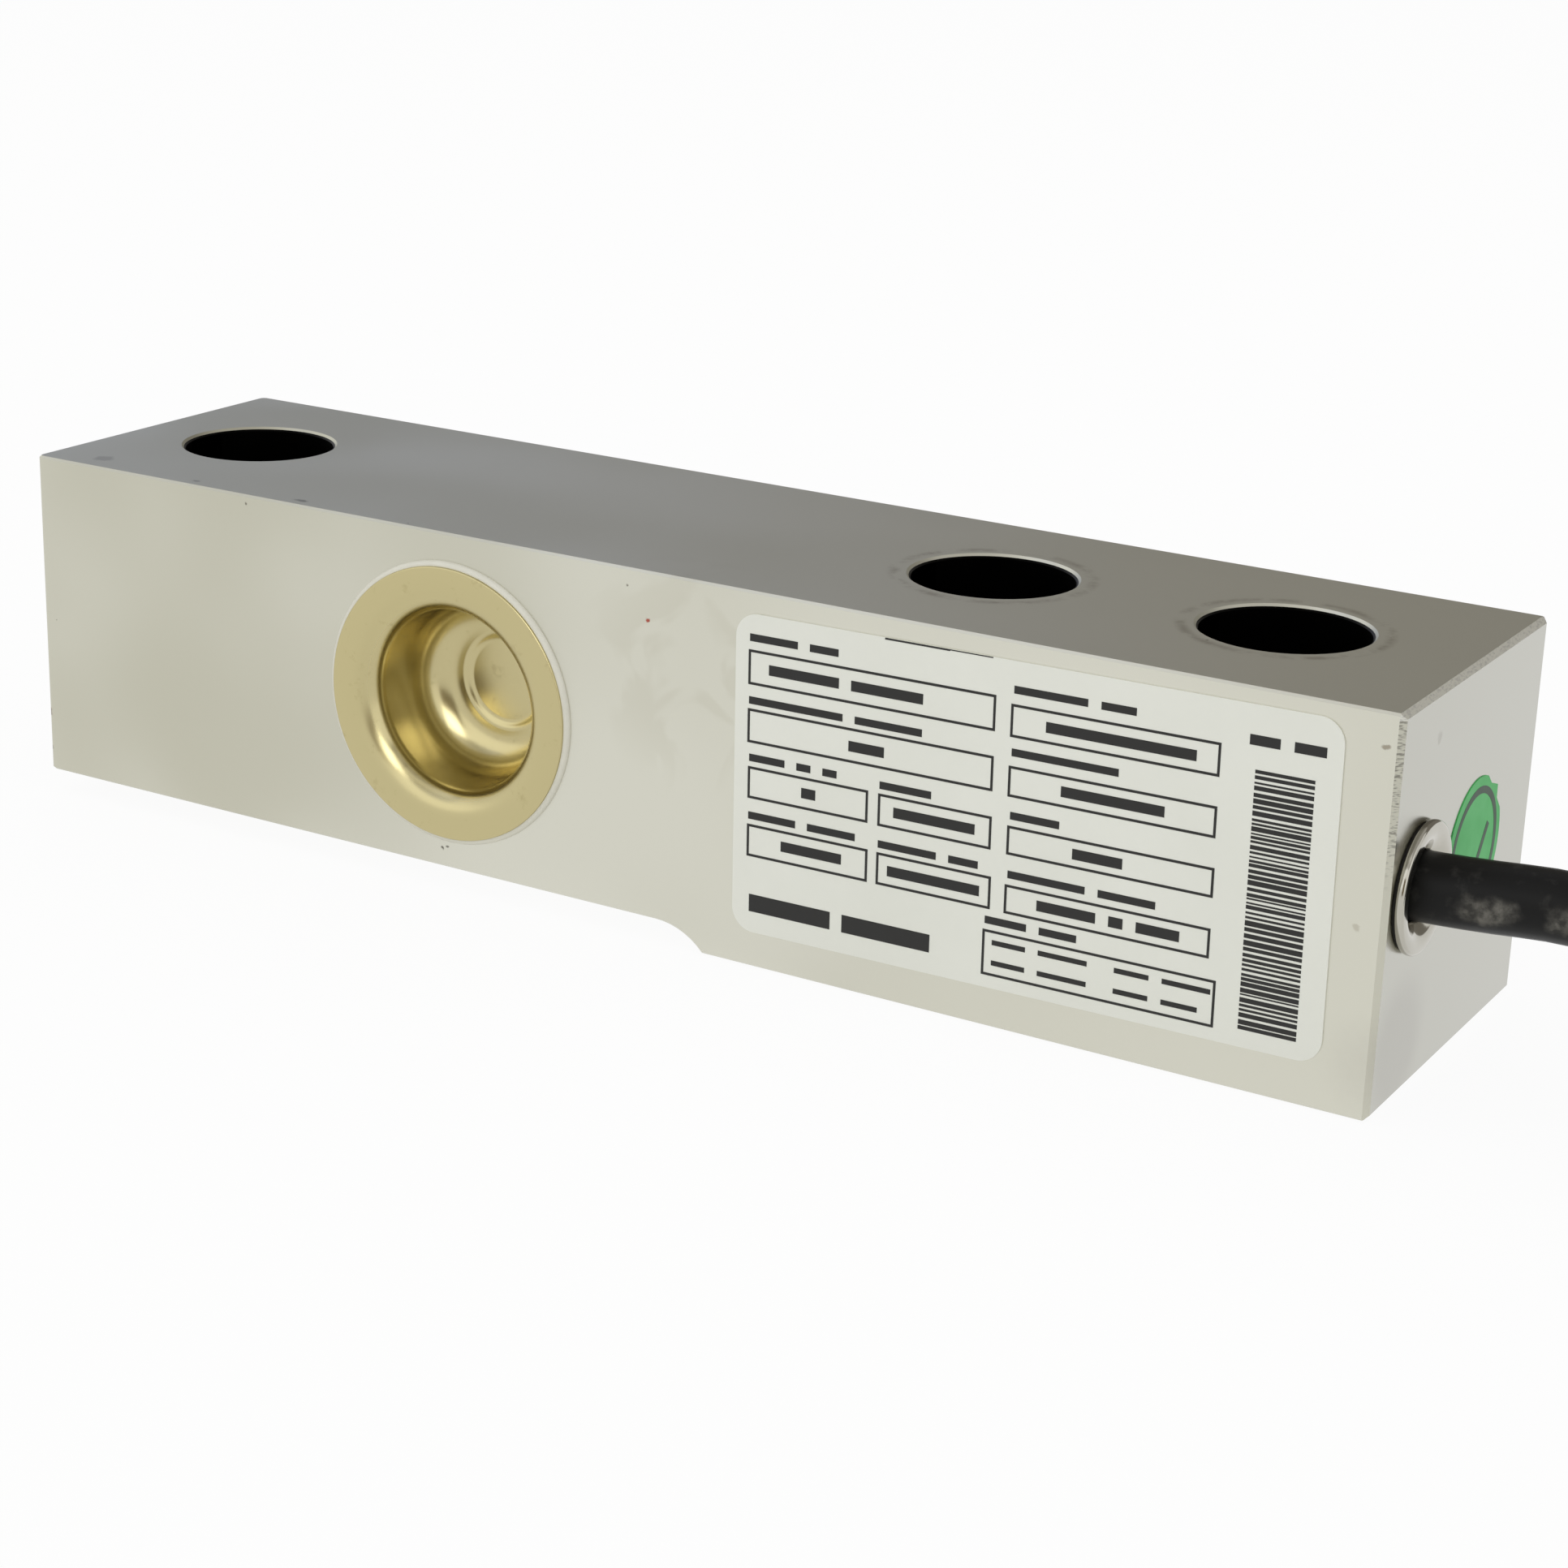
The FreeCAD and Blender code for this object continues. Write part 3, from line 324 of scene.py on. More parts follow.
    # small dark flecks, far apart
    cell = addNode(tree, "ShaderNodeTexVoronoi", {
        "Vector": spot, "Scale": cycles(nickel["fleckMm"]), "Randomness": 1.0})
    ragged = addNode(tree, "ShaderNodeMath", {
        0: grain.outputs[0], 1: nickel["fleckRagged"], 2: cell.outputs["Distance"]}, operation="MULTIPLY_ADD")
    inside, outside = nickel["fleckEdge"]
    fleck = addNode(tree, "ShaderNodeMapRange", {
        "Value": ragged.outputs[0], "From Min": inside, "From Max": outside,
        "To Min": nickel["fleckShare"], "To Max": 0.0})
    colour = addNode(tree, "ShaderNodeMix", {
        0: fleck.outputs[0], 6: colour.outputs[2], 7: linear(nickel["fleck"])}, data_type="RGBA")
    # single stains and specks of rust, and one broad painted shade low on the cable end, each a spot with a
    # ragged edge
    where = ruffled(tree, spot, nickel["stainEdgeMm"])
    for spotMark in nickel["stainsAndShade"]:
        spotShare = markShare(tree, where, spotMark)
        colour = addNode(tree, "ShaderNodeMix", {
            0: spotShare, 6: colour.outputs[2], 7: linear(spotMark["colour"])}, data_type="RGBA")
    # the broken edges of the cable end are torn by the cutter, most of all high up
    slope, margin = nickel["bevelFacing"]
    slant = addNode(tree, "ShaderNodeMath", {
        0: normal.outputs[0], 1: slope, 2: margin}, operation="COMPARE")
    byCable = addNode(tree, "ShaderNodeMath", {
        0: part.outputs[0], 1: nickel["bevelFrom"] * mm}, operation="GREATER_THAN")
    bevel = addNode(tree, "ShaderNodeMath", {
        0: slant.outputs[0], 1: byCable.outputs[0]}, operation="MULTIPLY")
    drawn = addNode(tree, "ShaderNodeVectorMath", {0: spot, 1: nickel["burrStretch"]}, operation="MULTIPLY")
    chatter = addNode(tree, "ShaderNodeTexNoise", {
        "Vector": drawn.outputs[0], "Scale": cycles(nickel["burrMm"]), "Detail": 1.0})
    starts, full = nickel["burrShow"]
    torn = addNode(tree, "ShaderNodeMapRange", {
        "Value": chatter.outputs[0], "From Min": starts, "From Max": full, "To Max": nickel["burrShare"]})
    lowest, highest = nickel["burrHeights"]
    highUp = addNode(tree, "ShaderNodeMapRange", {
        "Value": part.outputs[2], "From Min": lowest * mm, "From Max": highest * mm})
    scored = addNode(tree, "ShaderNodeMath", {
        0: torn.outputs[0], 1: highUp.outputs[0]}, operation="MULTIPLY")
    rough = addNode(tree, "ShaderNodeMath", {0: bevel.outputs[0], 1: scored.outputs[0]}, operation="MULTIPLY")
    colour = addNode(tree, "ShaderNodeMix", {
        0: rough.outputs[0], 6: colour.outputs[2], 7: linear(nickel["burr"])}, data_type="RGBA")
    # painted highlight: along the top the broken edge is painted pale, as if it caught the light
    onTop = addNode(tree, "ShaderNodeMath", {
        0: part.outputs[2], 1: nickel["topEdgeHighlightAbove"] * mm}, operation="GREATER_THAN")
    topBevel = addNode(tree, "ShaderNodeMath", {
        0: bevel.outputs[0], 1: onTop.outputs[0]}, operation="MULTIPLY")
    paintedHighlight = addNode(tree, "ShaderNodeMath", {
        0: topBevel.outputs[0], 1: nickel["topEdgeHighlightShare"]}, operation="MULTIPLY")
    colour = addNode(tree, "ShaderNodeMix", {
        0: paintedHighlight.outputs[0], 6: colour.outputs[2], 7: linear(nickel["topEdgeHighlight"])}, data_type="RGBA")
    # painted shade: near black inside the drilled bores
    colour = addNode(tree, "ShaderNodeMix", {
        0: bore.outputs[0], 6: colour.outputs[2], 7: linear(nickel["bore"])}, data_type="RGBA")
    # satin all over, smoother on the milled end and rougher on its broken edges
    least, most = nickel["roughness"]
    satin = addNode(tree, "ShaderNodeMapRange", {
        "Value": blotch.outputs[0], "To Min": least, "To Max": most})
    milled = addNode(tree, "ShaderNodeMath", {
        0: cutEndFinishAndShade.outputs[0], 1: nickel["cutEndPolish"], 2: satin.outputs[0]}, operation="MULTIPLY_ADD")
    gloss = addNode(tree, "ShaderNodeMath", {
        0: bevel.outputs[0], 1: nickel["bevelRough"], 2: milled.outputs[0]}, operation="MULTIPLY_ADD")
    bump = addNode(tree, "ShaderNodeBump", {
        "Height": grain.outputs[0], "Strength": nickel["grainBump"], "Distance": nickel["grainDepthMm"] * mm})
    plug(tree, shader, {
        "Base Color": colour.outputs[2], "Roughness": gloss.outputs[0], "Normal": bump.outputs[0]})
    return material


# Pressed sheet with a gold passivate: clear yellow metal, glossy in the cup and duller on the flange
goldSheet = {
    "gold": "#c3b88b",
    "deep": "#c1b68a",
    "roughness": (0.22, 0.32),
    "wellToFlange": (15.2, 16.6),
    "drawMm": 6.0,
    "drawBump": 0.08,
    "drawDepthMm": 0.1,
    "smear": "#8b7a48",
    "smearMm": 1.6,
    "smearShow": (0.6, 0.8),
    "smearShare": 0.35,
}


def goldPassivate():
    material, tree, shader, place = newMaterial("goldPassivatedSheet", {"Metallic": 1.0})
    spot = place.outputs["Object"]
    part = addNode(tree, "ShaderNodeSeparateXYZ", {0: spot})
    out = addNode(tree, "ShaderNodeMath", {0: part.outputs[1]}, operation="ABSOLUTE")
    # the drawn wall and floor are a shade deeper in colour than the flange, and glossier
    well, flange = goldSheet["wellToFlange"]
    onFlange = addNode(tree, "ShaderNodeMapRange", {
        "Value": out.outputs[0], "From Min": well * mm, "From Max": flange * mm},
        interpolation_type="SMOOTHSTEP")
    colour = addNode(tree, "ShaderNodeMix", {
        0: onFlange.outputs[0], 6: linear(goldSheet["deep"]), 7: linear(goldSheet["gold"])}, data_type="RGBA")
    # small smears of the passivate
    speck = addNode(tree, "ShaderNodeTexNoise", {
        "Vector": spot, "Scale": cycles(goldSheet["smearMm"]), "Detail": 4.0, "Roughness": 0.7})
    starts, full = goldSheet["smearShow"]
    smear = addNode(tree, "ShaderNodeMapRange", {
        "Value": speck.outputs[0], "From Min": starts, "From Max": full, "To Max": goldSheet["smearShare"]})
    colour = addNode(tree, "ShaderNodeMix", {
        0: smear.outputs[0], 6: colour.outputs[2], 7: linear(goldSheet["smear"])}, data_type="RGBA")
    glossy, dull = goldSheet["roughness"]
    gloss = addNode(tree, "ShaderNodeMapRange", {
        "Value": onFlange.outputs[0], "To Min": glossy, "To Max": dull})
    # faint waves from the press
    waves = addNode(tree, "ShaderNodeTexNoise", {
        "Vector": spot, "Scale": cycles(goldSheet["drawMm"]), "Detail": 3.0})
    bump = addNode(tree, "ShaderNodeBump", {
        "Height": waves.outputs[0], "Strength": goldSheet["drawBump"],
        "Distance": goldSheet["drawDepthMm"] * mm})
    plug(tree, shader, {
        "Base Color": colour.outputs[2], "Roughness": gloss.outputs[0], "Normal": bump.outputs[0]})
    return material


# Plain materials: how far the gloss and the surface follow the cloud of colour
mottle = {"glossSpread": 0.15, "relief": 0.15}


def mottled(name, lightHex, darkHex, patternMm, roughness, metallic=0.0, depthMm=0.02):
    # a plain material that still varies: two near colours in a cloud of the pattern's size
    material, tree, shader, place = newMaterial(name, {"Metallic": metallic})
    spread = mottle["glossSpread"]
    cloud = addNode(tree, "ShaderNodeTexNoise", {
        "Vector": place.outputs["Object"], "Scale": cycles(patternMm), "Detail": 3.0})
    colour = addNode(tree, "ShaderNodeMix", {
        0: cloud.outputs[0], 6: linear(lightHex), 7: linear(darkHex)}, data_type="RGBA")
    gloss = addNode(tree, "ShaderNodeMapRange", {
        "Value": cloud.outputs[0], "To Min": roughness * (1 - spread), "To Max": roughness * (1 + spread)})
    bump = addNode(tree, "ShaderNodeBump", {
        "Height": cloud.outputs[0], "Strength": mottle["relief"], "Distance": depthMm * mm})
    plug(tree, shader, {
        "Base Color": colour.outputs[2], "Roughness": gloss.outputs[0], "Normal": bump.outputs[0]})
    return material


# Extruded jacket: near black with a soft sheen, rubbed pale in patches
jacket = {
    "black": "#0c0c0b",
    "specular": 0.2,
    "roughness": 0.42,
    "rubbedRoughness": 0.7,
    "grainMm": 0.25,
    "grainBump": 0.2,
    "grainDepthMm": 0.02,
    "dustMm": 1.1,
    "dustShow": (0.55, 0.75),
    "dustShare": 0.06,
    "scuff": "#85827a",
    "scuffMm": 1.6,
    "streakShow": (0.38, 0.62),
    "streakLeast": 0.25,
    "rubs": [
        {"place": (34.6, -12.2, 16.8), "radius": 1.5, "share": 0.60, "long": 2.0},
        {"place": (40.6, -11.9, 17.1), "radius": 1.4, "share": 0.55, "long": 1.6},
        {"place": (84.0, -17.1, 4.2), "radius": 1.3, "share": 0.35, "long": 3.0},
    ],
}


def cableJacket():
    material, tree, shader, place = newMaterial("extrudedCableJacket", {
        "Specular IOR Level": jacket["specular"]})
    spot = place.outputs["Object"]
    dust = addNode(tree, "ShaderNodeTexNoise", {
        "Vector": spot, "Scale": cycles(jacket["dustMm"]), "Detail": 4.0, "Roughness": 0.6})
    starts, full = jacket["dustShow"]
    patch = addNode(tree, "ShaderNodeMapRange", {
        "Value": dust.outputs[0], "From Min": starts, "From Max": full, "To Max": jacket["dustShare"]})
    # rubbed pale where it leaves the bushing, hardly at all in the hank
    where = ruffled(tree, spot, jacket["scuffMm"])
    for rub in jacket["rubs"]:
        patch = addNode(tree, "ShaderNodeMath", {
            0: patch.outputs[0], 1: markShare(tree, where, rub)}, operation="ADD")
    starts, full = jacket["streakShow"]
    streak = addNode(tree, "ShaderNodeMapRange", {
        "Value": dust.outputs[0], "From Min": starts, "From Max": full, "To Min": jacket["streakLeast"]})
    pale = addNode(tree, "ShaderNodeMath", {0: patch.outputs[0], 1: streak.outputs[0]}, operation="MULTIPLY")
    colour = addNode(tree, "ShaderNodeMix", {
        0: pale.outputs[0], 6: linear(jacket["black"]), 7: linear(jacket["scuff"])}, data_type="RGBA")
    gloss = addNode(tree, "ShaderNodeMapRange", {
        "Value": patch.outputs[0], "To Min": jacket["roughness"], "To Max": jacket["rubbedRoughness"]})
    grain = addNode(tree, "ShaderNodeTexNoise", {
        "Vector": spot, "Scale": cycles(jacket["grainMm"]), "Detail": 2.0})
    bump = addNode(tree, "ShaderNodeBump", {
        "Height": grain.outputs[0], "Strength": jacket["grainBump"], "Distance": jacket["grainDepthMm"] * mm})
    plug(tree, shader, {
        "Base Color": colour.outputs[2], "Roughness": gloss.outputs[0], "Normal": bump.outputs[0]})
    return material


# Stripped lead: soft coloured insulation, with its tinned strands bare and bright at the tip
lead = {"tin": "#c9c8c2", "cloudMm": 2.0, "sleeveRoughness": 0.38, "tinRoughness": 0.28}


def strippedLead(name, lightHex, darkHex, tipStart):
    material, tree, shader, place = newMaterial(name, {})
    spot = place.outputs["Object"]
    part = addNode(tree, "ShaderNodeSeparateXYZ", {0: spot})
    bare = addNode(tree, "ShaderNodeMath", {0: part.outputs[0], 1: tipStart * mm}, operation="LESS_THAN")
    cloud = addNode(tree, "ShaderNodeTexNoise", {
        "Vector": spot, "Scale": cycles(lead["cloudMm"]), "Detail": 2.0})
    sleeve = addNode(tree, "ShaderNodeMix", {
        0: cloud.outputs[0], 6: linear(lightHex), 7: linear(darkHex)}, data_type="RGBA")
    colour = addNode(tree, "ShaderNodeMix", {
        0: bare.outputs[0], 6: sleeve.outputs[2], 7: linear(lead["tin"])}, data_type="RGBA")
    gloss = addNode(tree, "ShaderNodeMapRange", {
        "Value": bare.outputs[0], "To Min": lead["sleeveRoughness"], "To Max": lead["tinRoughness"]})
    plug(tree, shader, {
        "Base Color": colour.outputs[2], "Metallic": bare.outputs[0], "Roughness": gloss.outputs[0]})
    return material


nickelSteelSatin = nickelSteel()
goldPassivated = goldPassivate()
blackJacket = cableJacket()
# turned and plated: a warm near-mirror
brightNickel = mottled("brightNickelTurned", "#bdbab0", "#aeaba0", 2.0, 0.13, metallic=1.0, depthMm=0.003)
# cured sealant: off-white with a dull shine
sealant = mottled("curedWhiteSealant", "#e8e6d9", "#dddbcd", 1.5, 0.45)
# label film: clean white with a slight gloss, under flat black print and a painted shadow strip along its top
labelFilm = mottled("whitePolyesterLabel", "#f0f1e8", "#e8e9df", 9.0, 0.36)
labelInkAndShadow = mottled("thermalPrintInkAndShadow", "#141412", "#22211e", 1.2, 0.6)
# sticker paper: a fresh uneven green, under a grey stamp
stickerFilm = mottled("greenPaperSticker", "#58cf72", "#46bb60", 2.5, 0.5)
stickerInk = mottled("greyStampInk", "#55685a", "#495c4e", 1.0, 0.6)
# seal and potting: dull black rubber, and dark resin with a glassy skin
sealRubber = mottled("blackNitrileRubber", "#1c1a18", "#12110f", 0.8, 0.6)
pottingEpoxy = mottled("castEpoxyDark", "#3a3327", "#2b251c", 1.5, 0.3)
# inside the pockets: amber film, green board, pale blue lacquer, and copper seen through enamel
gaugeFilm = mottled("polyimideGaugeFilm", "#c98a2e", "#b5771f", 0.6, 0.3)
solderMask = mottled("greenSolderMask", "#1f6a37", "#17552b", 0.8, 0.35)
resistorLacquer = mottled("resistorLacquerBlue", "#7aa7c4", "#6892b0", 0.7, 0.3)
enamelledCopper = mottled("enamelledCopperWire", "#c77b4a", "#a9623a", 0.5, 0.3, metallic=1.0)
# drain wire: soft silver strands
tinnedCopper = mottled("tinnedCopperStrand", "#c9c8c2", "#a9a8a1", 0.5, 0.3, metallic=1.0)
# ties and shrink sleeve: two blacks, the nylon with more sheen
tieNylon = mottled("blackNylonMoulded", "#1e1e1d", "#141413", 0.8, 0.45)
shrinkSleeve = mottled("polyolefinShrinkSleeve", "#1a1a1a", "#101010", 1.0, 0.55)
print("materials ready:", len(bpy.data.materials))

dress(nickelSteelSatin, "beam_body")
dress(sealRubber, "bushing_seal")
dress(pottingEpoxy, "potting_plug")
dress(gaugeFilm, "front_shear_gauge", "rear_shear_gauge")
dress(solderMask, "terminal_board", "rear_terminal_strip")
dress(resistorLacquer, "balance_resistor", "span_resistor")
dress(enamelledCopper, "front_gauge_wires", "rear_gauge_wires", "bridge_jumpers")
dress(labelFilm, "rating_label")
dress(stickerFilm, "inspection_sticker")
dress(tieNylon, "hank_tie_front", "hank_tie_rear")
dress(shrinkSleeve, "end_sleeve")
dress(tinnedCopper, "shield_drain")
# the two shades of each lead, and where along the beam its bare tip starts
wireColours = {
    "green": ("#1f8a3d", "#197634", 120.0),
    "black": ("#1b1b1b", "#121212", 122.0),
    "white": ("#ecebe6", "#dedcd4", 119.0),
    "red": ("#b3211d", "#9c1a17", 121.0),
}
for wireName, (lightHex, darkHex, tipStart) in wireColours.items():
    dress(strippedLead(wireName + "LeadInsulation", lightHex, darkHex, tipStart),
          "lead_" + wireName, "inner_lead_" + wireName)
print("CAD pieces dressed")


# Sealing cups: one pressed profile, from the middle of the floor out to the flange and back behind it
cup = {
    "middle": (-55.6, 0.0, 16.875),
    "face": 15.875,
    "bond": 0.2,
    "sheet": 0.4,
    "flange": 12.0,
    "flangeRound": 0.14,
    "throat": 7.9,
    "rimRound": 2.2,
    "cornerRound": 3.3,
    "depth": 8.1,
    "ringEdge": 4.6,
    "dishDepth": 0.3,
    "dishRound": 1.2,
    "arcPoints": 10,
    "edgePoints": 5,
}


def cupProfile():
    # dish, flat ring, hollow corner, wall, rim, flange; then the same offset by the sheet
    count = cup["arcPoints"]
    sheet = cup["sheet"]
    ring = cup["face"] - cup["depth"]
    floor = ring - cup["dishDepth"]
    bend = cup["cornerRound"]
    fold = cup["dishRound"]
    top = cup["face"] + cup["bond"] + sheet
    turn = math.degrees(math.acos(1 - cup["dishDepth"] / (2 * fold)))
    dishX = cup["ringEdge"] - 2 * fold * math.sin(math.radians(turn))
    cornerX = cup["throat"] - bend
    rimX = cup["throat"] + cup["rimRound"]
    rimZ = top - cup["rimRound"]
    edge = cup["flangeRound"]

    def sheetFace(grow, flip):
        # one face of the sheet, moved towards the back by grow
        rows = [
            np.array([[0.0, floor - grow]]),
            arc((dishX, floor + fold), fold + grow, -90, -90 + turn, count),
            arc((cup["ringEdge"], ring - fold), fold - grow, 90 + turn, 90, count),
            arc((cornerX, ring + bend), bend + grow, -90, 0, 2 * count),
            arc((rimX, rimZ), cup["rimRound"] - grow, 180, 90, count),
        ]
        line = np.concatenate(rows)
        return line[::-1] if flip else line

    outer = np.concatenate([
        arc((cup["flange"] - edge, top - edge), edge, 90, 0, cup["edgePoints"]),
        arc((cup["flange"] - edge, top - sheet + edge), edge, 0, -90, cup["edgePoints"]),
    ])
    return np.concatenate([sheetFace(0.0, False), outer, sheetFace(sheet, True)])


# Bond: the pale ring that each flange sits in
bond = {"lip": 0.45, "inset": 0.2, "pocket": 10.5, "beadPoints": 8}


def bondProfile():
    # flat ring under the flange, with a rounded fillet that climbs half way up its edge
    seat = cup["face"] + cup["bond"]
    inner = bond["pocket"] + bond["inset"]
    edge = cup["flange"]
    rise = cup["bond"] + cup["sheet"] / 2
    quarter = arc((0.0, 0.0), 1.0, 0, 90, bond["beadPoints"])
    bead = quarter * [bond["lip"], rise] + [edge, cup["face"]]
    return np.concatenate([[(inner, cup["face"])], bead, [(edge, seat), (inner, seat)]])


for side, outward in (("front", (0, -1, 0)), ("rear", (0, 1, 0))):
    piece = turnedShell(side + "SealingCup", cupProfile(), cup["middle"], outward,
                        goldPassivated)
    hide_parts(side + "_sealing_cup")
    piece = turnedRing(side + "CupBond", bondProfile(), cup["middle"], outward, sealant)
    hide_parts(side + "_cup_bond")
print("sealing cups pressed")

# Cable bushing: turned nickel-plated collar with a bell mouth
bushing = {
    "middle": (28.45, -9.725, 16.875),
    "bore": 2.75,
    "seat": 3.98,
    "spigot": 5.5,
    "seal": 0.1,
    "flange": 5.18,
    "flangeThick": 0.75,
    "edgeRound": 0.3,
    "bellRound": 1.7,
    "edgePoints": 5,
    "bellPoints": 14,
}


def bushingProfile():
    # spigot, flange with rounded edge, then the quarter round of the bell mouth
    back = bushing["seal"]
    face = back + bushing["flangeThick"]
    edge = bushing["edgeRound"]
    rim = bushing["flange"] - edge
    bell = bushing["bellRound"]
    bore = bushing["bore"]
    seat = bushing["seat"]
    inmost = -bushing["spigot"]
    return np.concatenate([
        [(bore, inmost), (seat, inmost), (seat, back)],
        arc((rim, back + edge), edge, -90, 0, bushing["edgePoints"]),
        arc((rim, face - edge), edge, 0, 90, bushing["edgePoints"]),
        arc((bore + bell, face - bell), bell, 90, 180, bushing["bellPoints"]),
    ])


piece = turnedRing("cableBushing", bushingProfile(), bushing["middle"], (1, 0, 0),
                   brightNickel)
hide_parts("cable_bushing")
print("bushing turned")

# Label print: plain outlined fields, rows of short bars, a column of stripes, and a painted shadow strip
# along the top edge
label = {
    "middle": (-1.4, -15.995, 16.8),
    "turn": 0.7,
    "inkMm": 0.02,
    "line": 0.21,
    "fields": [
        (-24.5, 7.6, -2.4, 10.5), (-24.5, 2.75, -2.4, 5.6),
        (-24.4, -1.95, -13.3, 0.75), (-12.4, -2.0, -2.35, 0.7),
        (-24.4, -6.9, -13.2, -4.15), (-12.4, -6.9, -2.2, -4.2),
        (-1.1, 7.4, 16.2, 10.05), (-1.1, 2.6, 16.2, 5.1),
        (-1.0, -2.1, 16.3, 0.27), (-1.0, -6.95, 16.3, -4.55),
        (-2.75, -12.4, 17.0, -8.6),
    ],
    "headings": [
        (-24.4, 11.5, (4.4, 2.6)), (-24.4, 6.3, (8.6, 6.0)), (-24.3, 1.5, (3.3, 1.3, 1.3)),
        (-12.3, 1.4, (4.6,)), (-24.3, -3.4, (4.4, 4.4)), (-12.3, -3.5, (5.2, 2.6)),
        (-0.9, 11.2, (6.2, 2.9)), (-0.9, 6.2, (9.0,)), (-0.8, 1.1, (4.2,)),
        (-0.8, -3.7, (6.6, 4.8)), (-2.6, -7.8, (3.6, 3.2)),
    ],
    "values": [
        (-22.6, 9.05, (6.4, 6.4)), (-15.2, 4.1, (3.2,)), (-19.4, -0.6, (1.3,)), (-11.0, -0.65, (7.2,)),
        (-21.2, -5.5, (5.6,)), (-11.4, -5.6, (8.2,)), (1.9, 8.7, (12.4,)), (3.4, 3.85, (8.6,)),
        (4.6, -0.95, (4.2,)), (1.8, -5.75, (5.0, 1.2, 3.6)),
    ],
    "notes": [
        (-1.9, -9.6, (2.9, 4.2)), (-1.9, -11.3, (2.9, 4.2)),
        (8.6, -9.6, (2.9, 4.0)), (8.6, -11.3, (2.9, 3.0)),
    ],
    "title": [(-24.1, -10.9, (7.6, 8.0))],
    "corner": [(18.4, 10.75, (2.4, 2.5))],
    "barHeight": {"headings": 0.62, "values": 0.86, "notes": 0.42, "title": 1.5, "corner": 0.8},
    "barGap": 1.1,
    "stripeColumn": (18.98, -12.0, 23.67, 8.64),
    "stripeMm": (0.12, 0.42),
    "stripeGapMm": (0.09, 0.22),
    "stripeSeed": 7,
    "stripeMost": 90,
    # painted shadow along the top edge of the film
    "liftedEdgeShadow": [(-12.2, 13.30, -6.5, 13.45), (-6.5, 13.36, -2.8, 13.45)],
}


def plates(name, boxes, middle, turn, across, out, thick, material):
    # each box (left, low, right, high) becomes a thin closed block that stands on the surface behind it
    boxes = np.array(boxes, float)
    wide = boxes[:, [0, 2, 2, 0, 0, 2, 2, 0], None]
    tall = boxes[:, [1, 1, 3, 3, 1, 1, 3, 3], None]
    rise = np.array([0, 0, 0, 0, 1, 1, 1, 1])[None, :, None] * thick
    cosine, sine = math.cos(math.radians(turn)), math.sin(math.radians(turn))
    up = np.array([0, 0, 1.0])
    points = (wide * cosine - tall * sine) * np.array(across) + (wide * sine + tall * cosine) * up
    points = points + np.array(middle) + rise * np.array(out)
    sides = np.array([[0, 3, 2, 1], [4, 5, 6, 7], [0, 1, 5, 4], [1, 2, 6, 5], [2, 3, 7, 6], [3, 0, 4, 7]])
    faces = (sides[None] + 8 * np.arange(len(boxes))[:, None, None]).reshape(-1, 4).tolist()
    return meshPiece(name, points * mm, faces, material)


def labelBoxes():
    # four thin boxes round each field, a box for each bar of a row, stripes up to the top of their column,
    # and the painted shadow strips
    boxes = []
    line = label["line"]
    for left, low, right, high in label["fields"]:
        boxes += [(left, low, right, low + line), (left, high - line, right, high)]
        boxes += [(left, low + line, left + line, high - line)]
        boxes += [(right - line, low + line, right, high - line)]
    for kind, height in label["barHeight"].items():
        for left, middle, bars in label[kind]:
            starts = left + np.cumsum([0, *bars[:-1]]) + label["barGap"] * np.arange(len(bars))
            boxes += [(s, middle - height / 2, s + w, middle + height / 2) for s, w in zip(starts, bars)]
    left, low, right, high = label["stripeColumn"]
    rng = np.random.default_rng(label["stripeSeed"])
    dark = rng.uniform(*label["stripeMm"], label["stripeMost"])
    pitch = dark + rng.uniform(*label["stripeGapMm"], label["stripeMost"])
    start = low + np.cumsum(pitch) - pitch
    inside = start + dark < high
    boxes += [(left, a, right, a + b) for a, b in zip(start[inside], dark[inside])]
    # painted shadow: dark strips along the top edge, where the film has lifted
    return boxes + label["liftedEdgeShadow"]


plates("labelPrint", labelBoxes(), label["middle"], label["turn"], (1, 0, 0), (0, -1, 0), label["inkMm"],
       labelInkAndShadow)

# Sticker print: a plain ring and a tick
sticker = {
    "middle": (28.53, 2.425, 16.0),
    "ring": (4.6, 5.2),
    "inkMm": 0.015,
    "tickCorner": (28.53, 2.0, 13.4),
    "tick": [(0.0, 0.0, 0.65, 5.4), (-2.3, 0.0, 0.0, 0.65)],
    "tickTurn": -36,
    "sides": 96,
}
inner, outer = sticker["ring"]
ringProfile = np.array([(inner, 0.0), (outer, 0.0), (outer, sticker["inkMm"]), (inner, sticker["inkMm"])])
turnedRing("stickerRing", ringProfile, sticker["middle"], (1, 0, 0),
           stickerInk, sticker["sides"])
plates("stickerTick", sticker["tick"], sticker["tickCorner"], sticker["tickTurn"], (0, 1, 0), (1, 0, 0),
       sticker["inkMm"], stickerInk)
print("label and sticker printed")

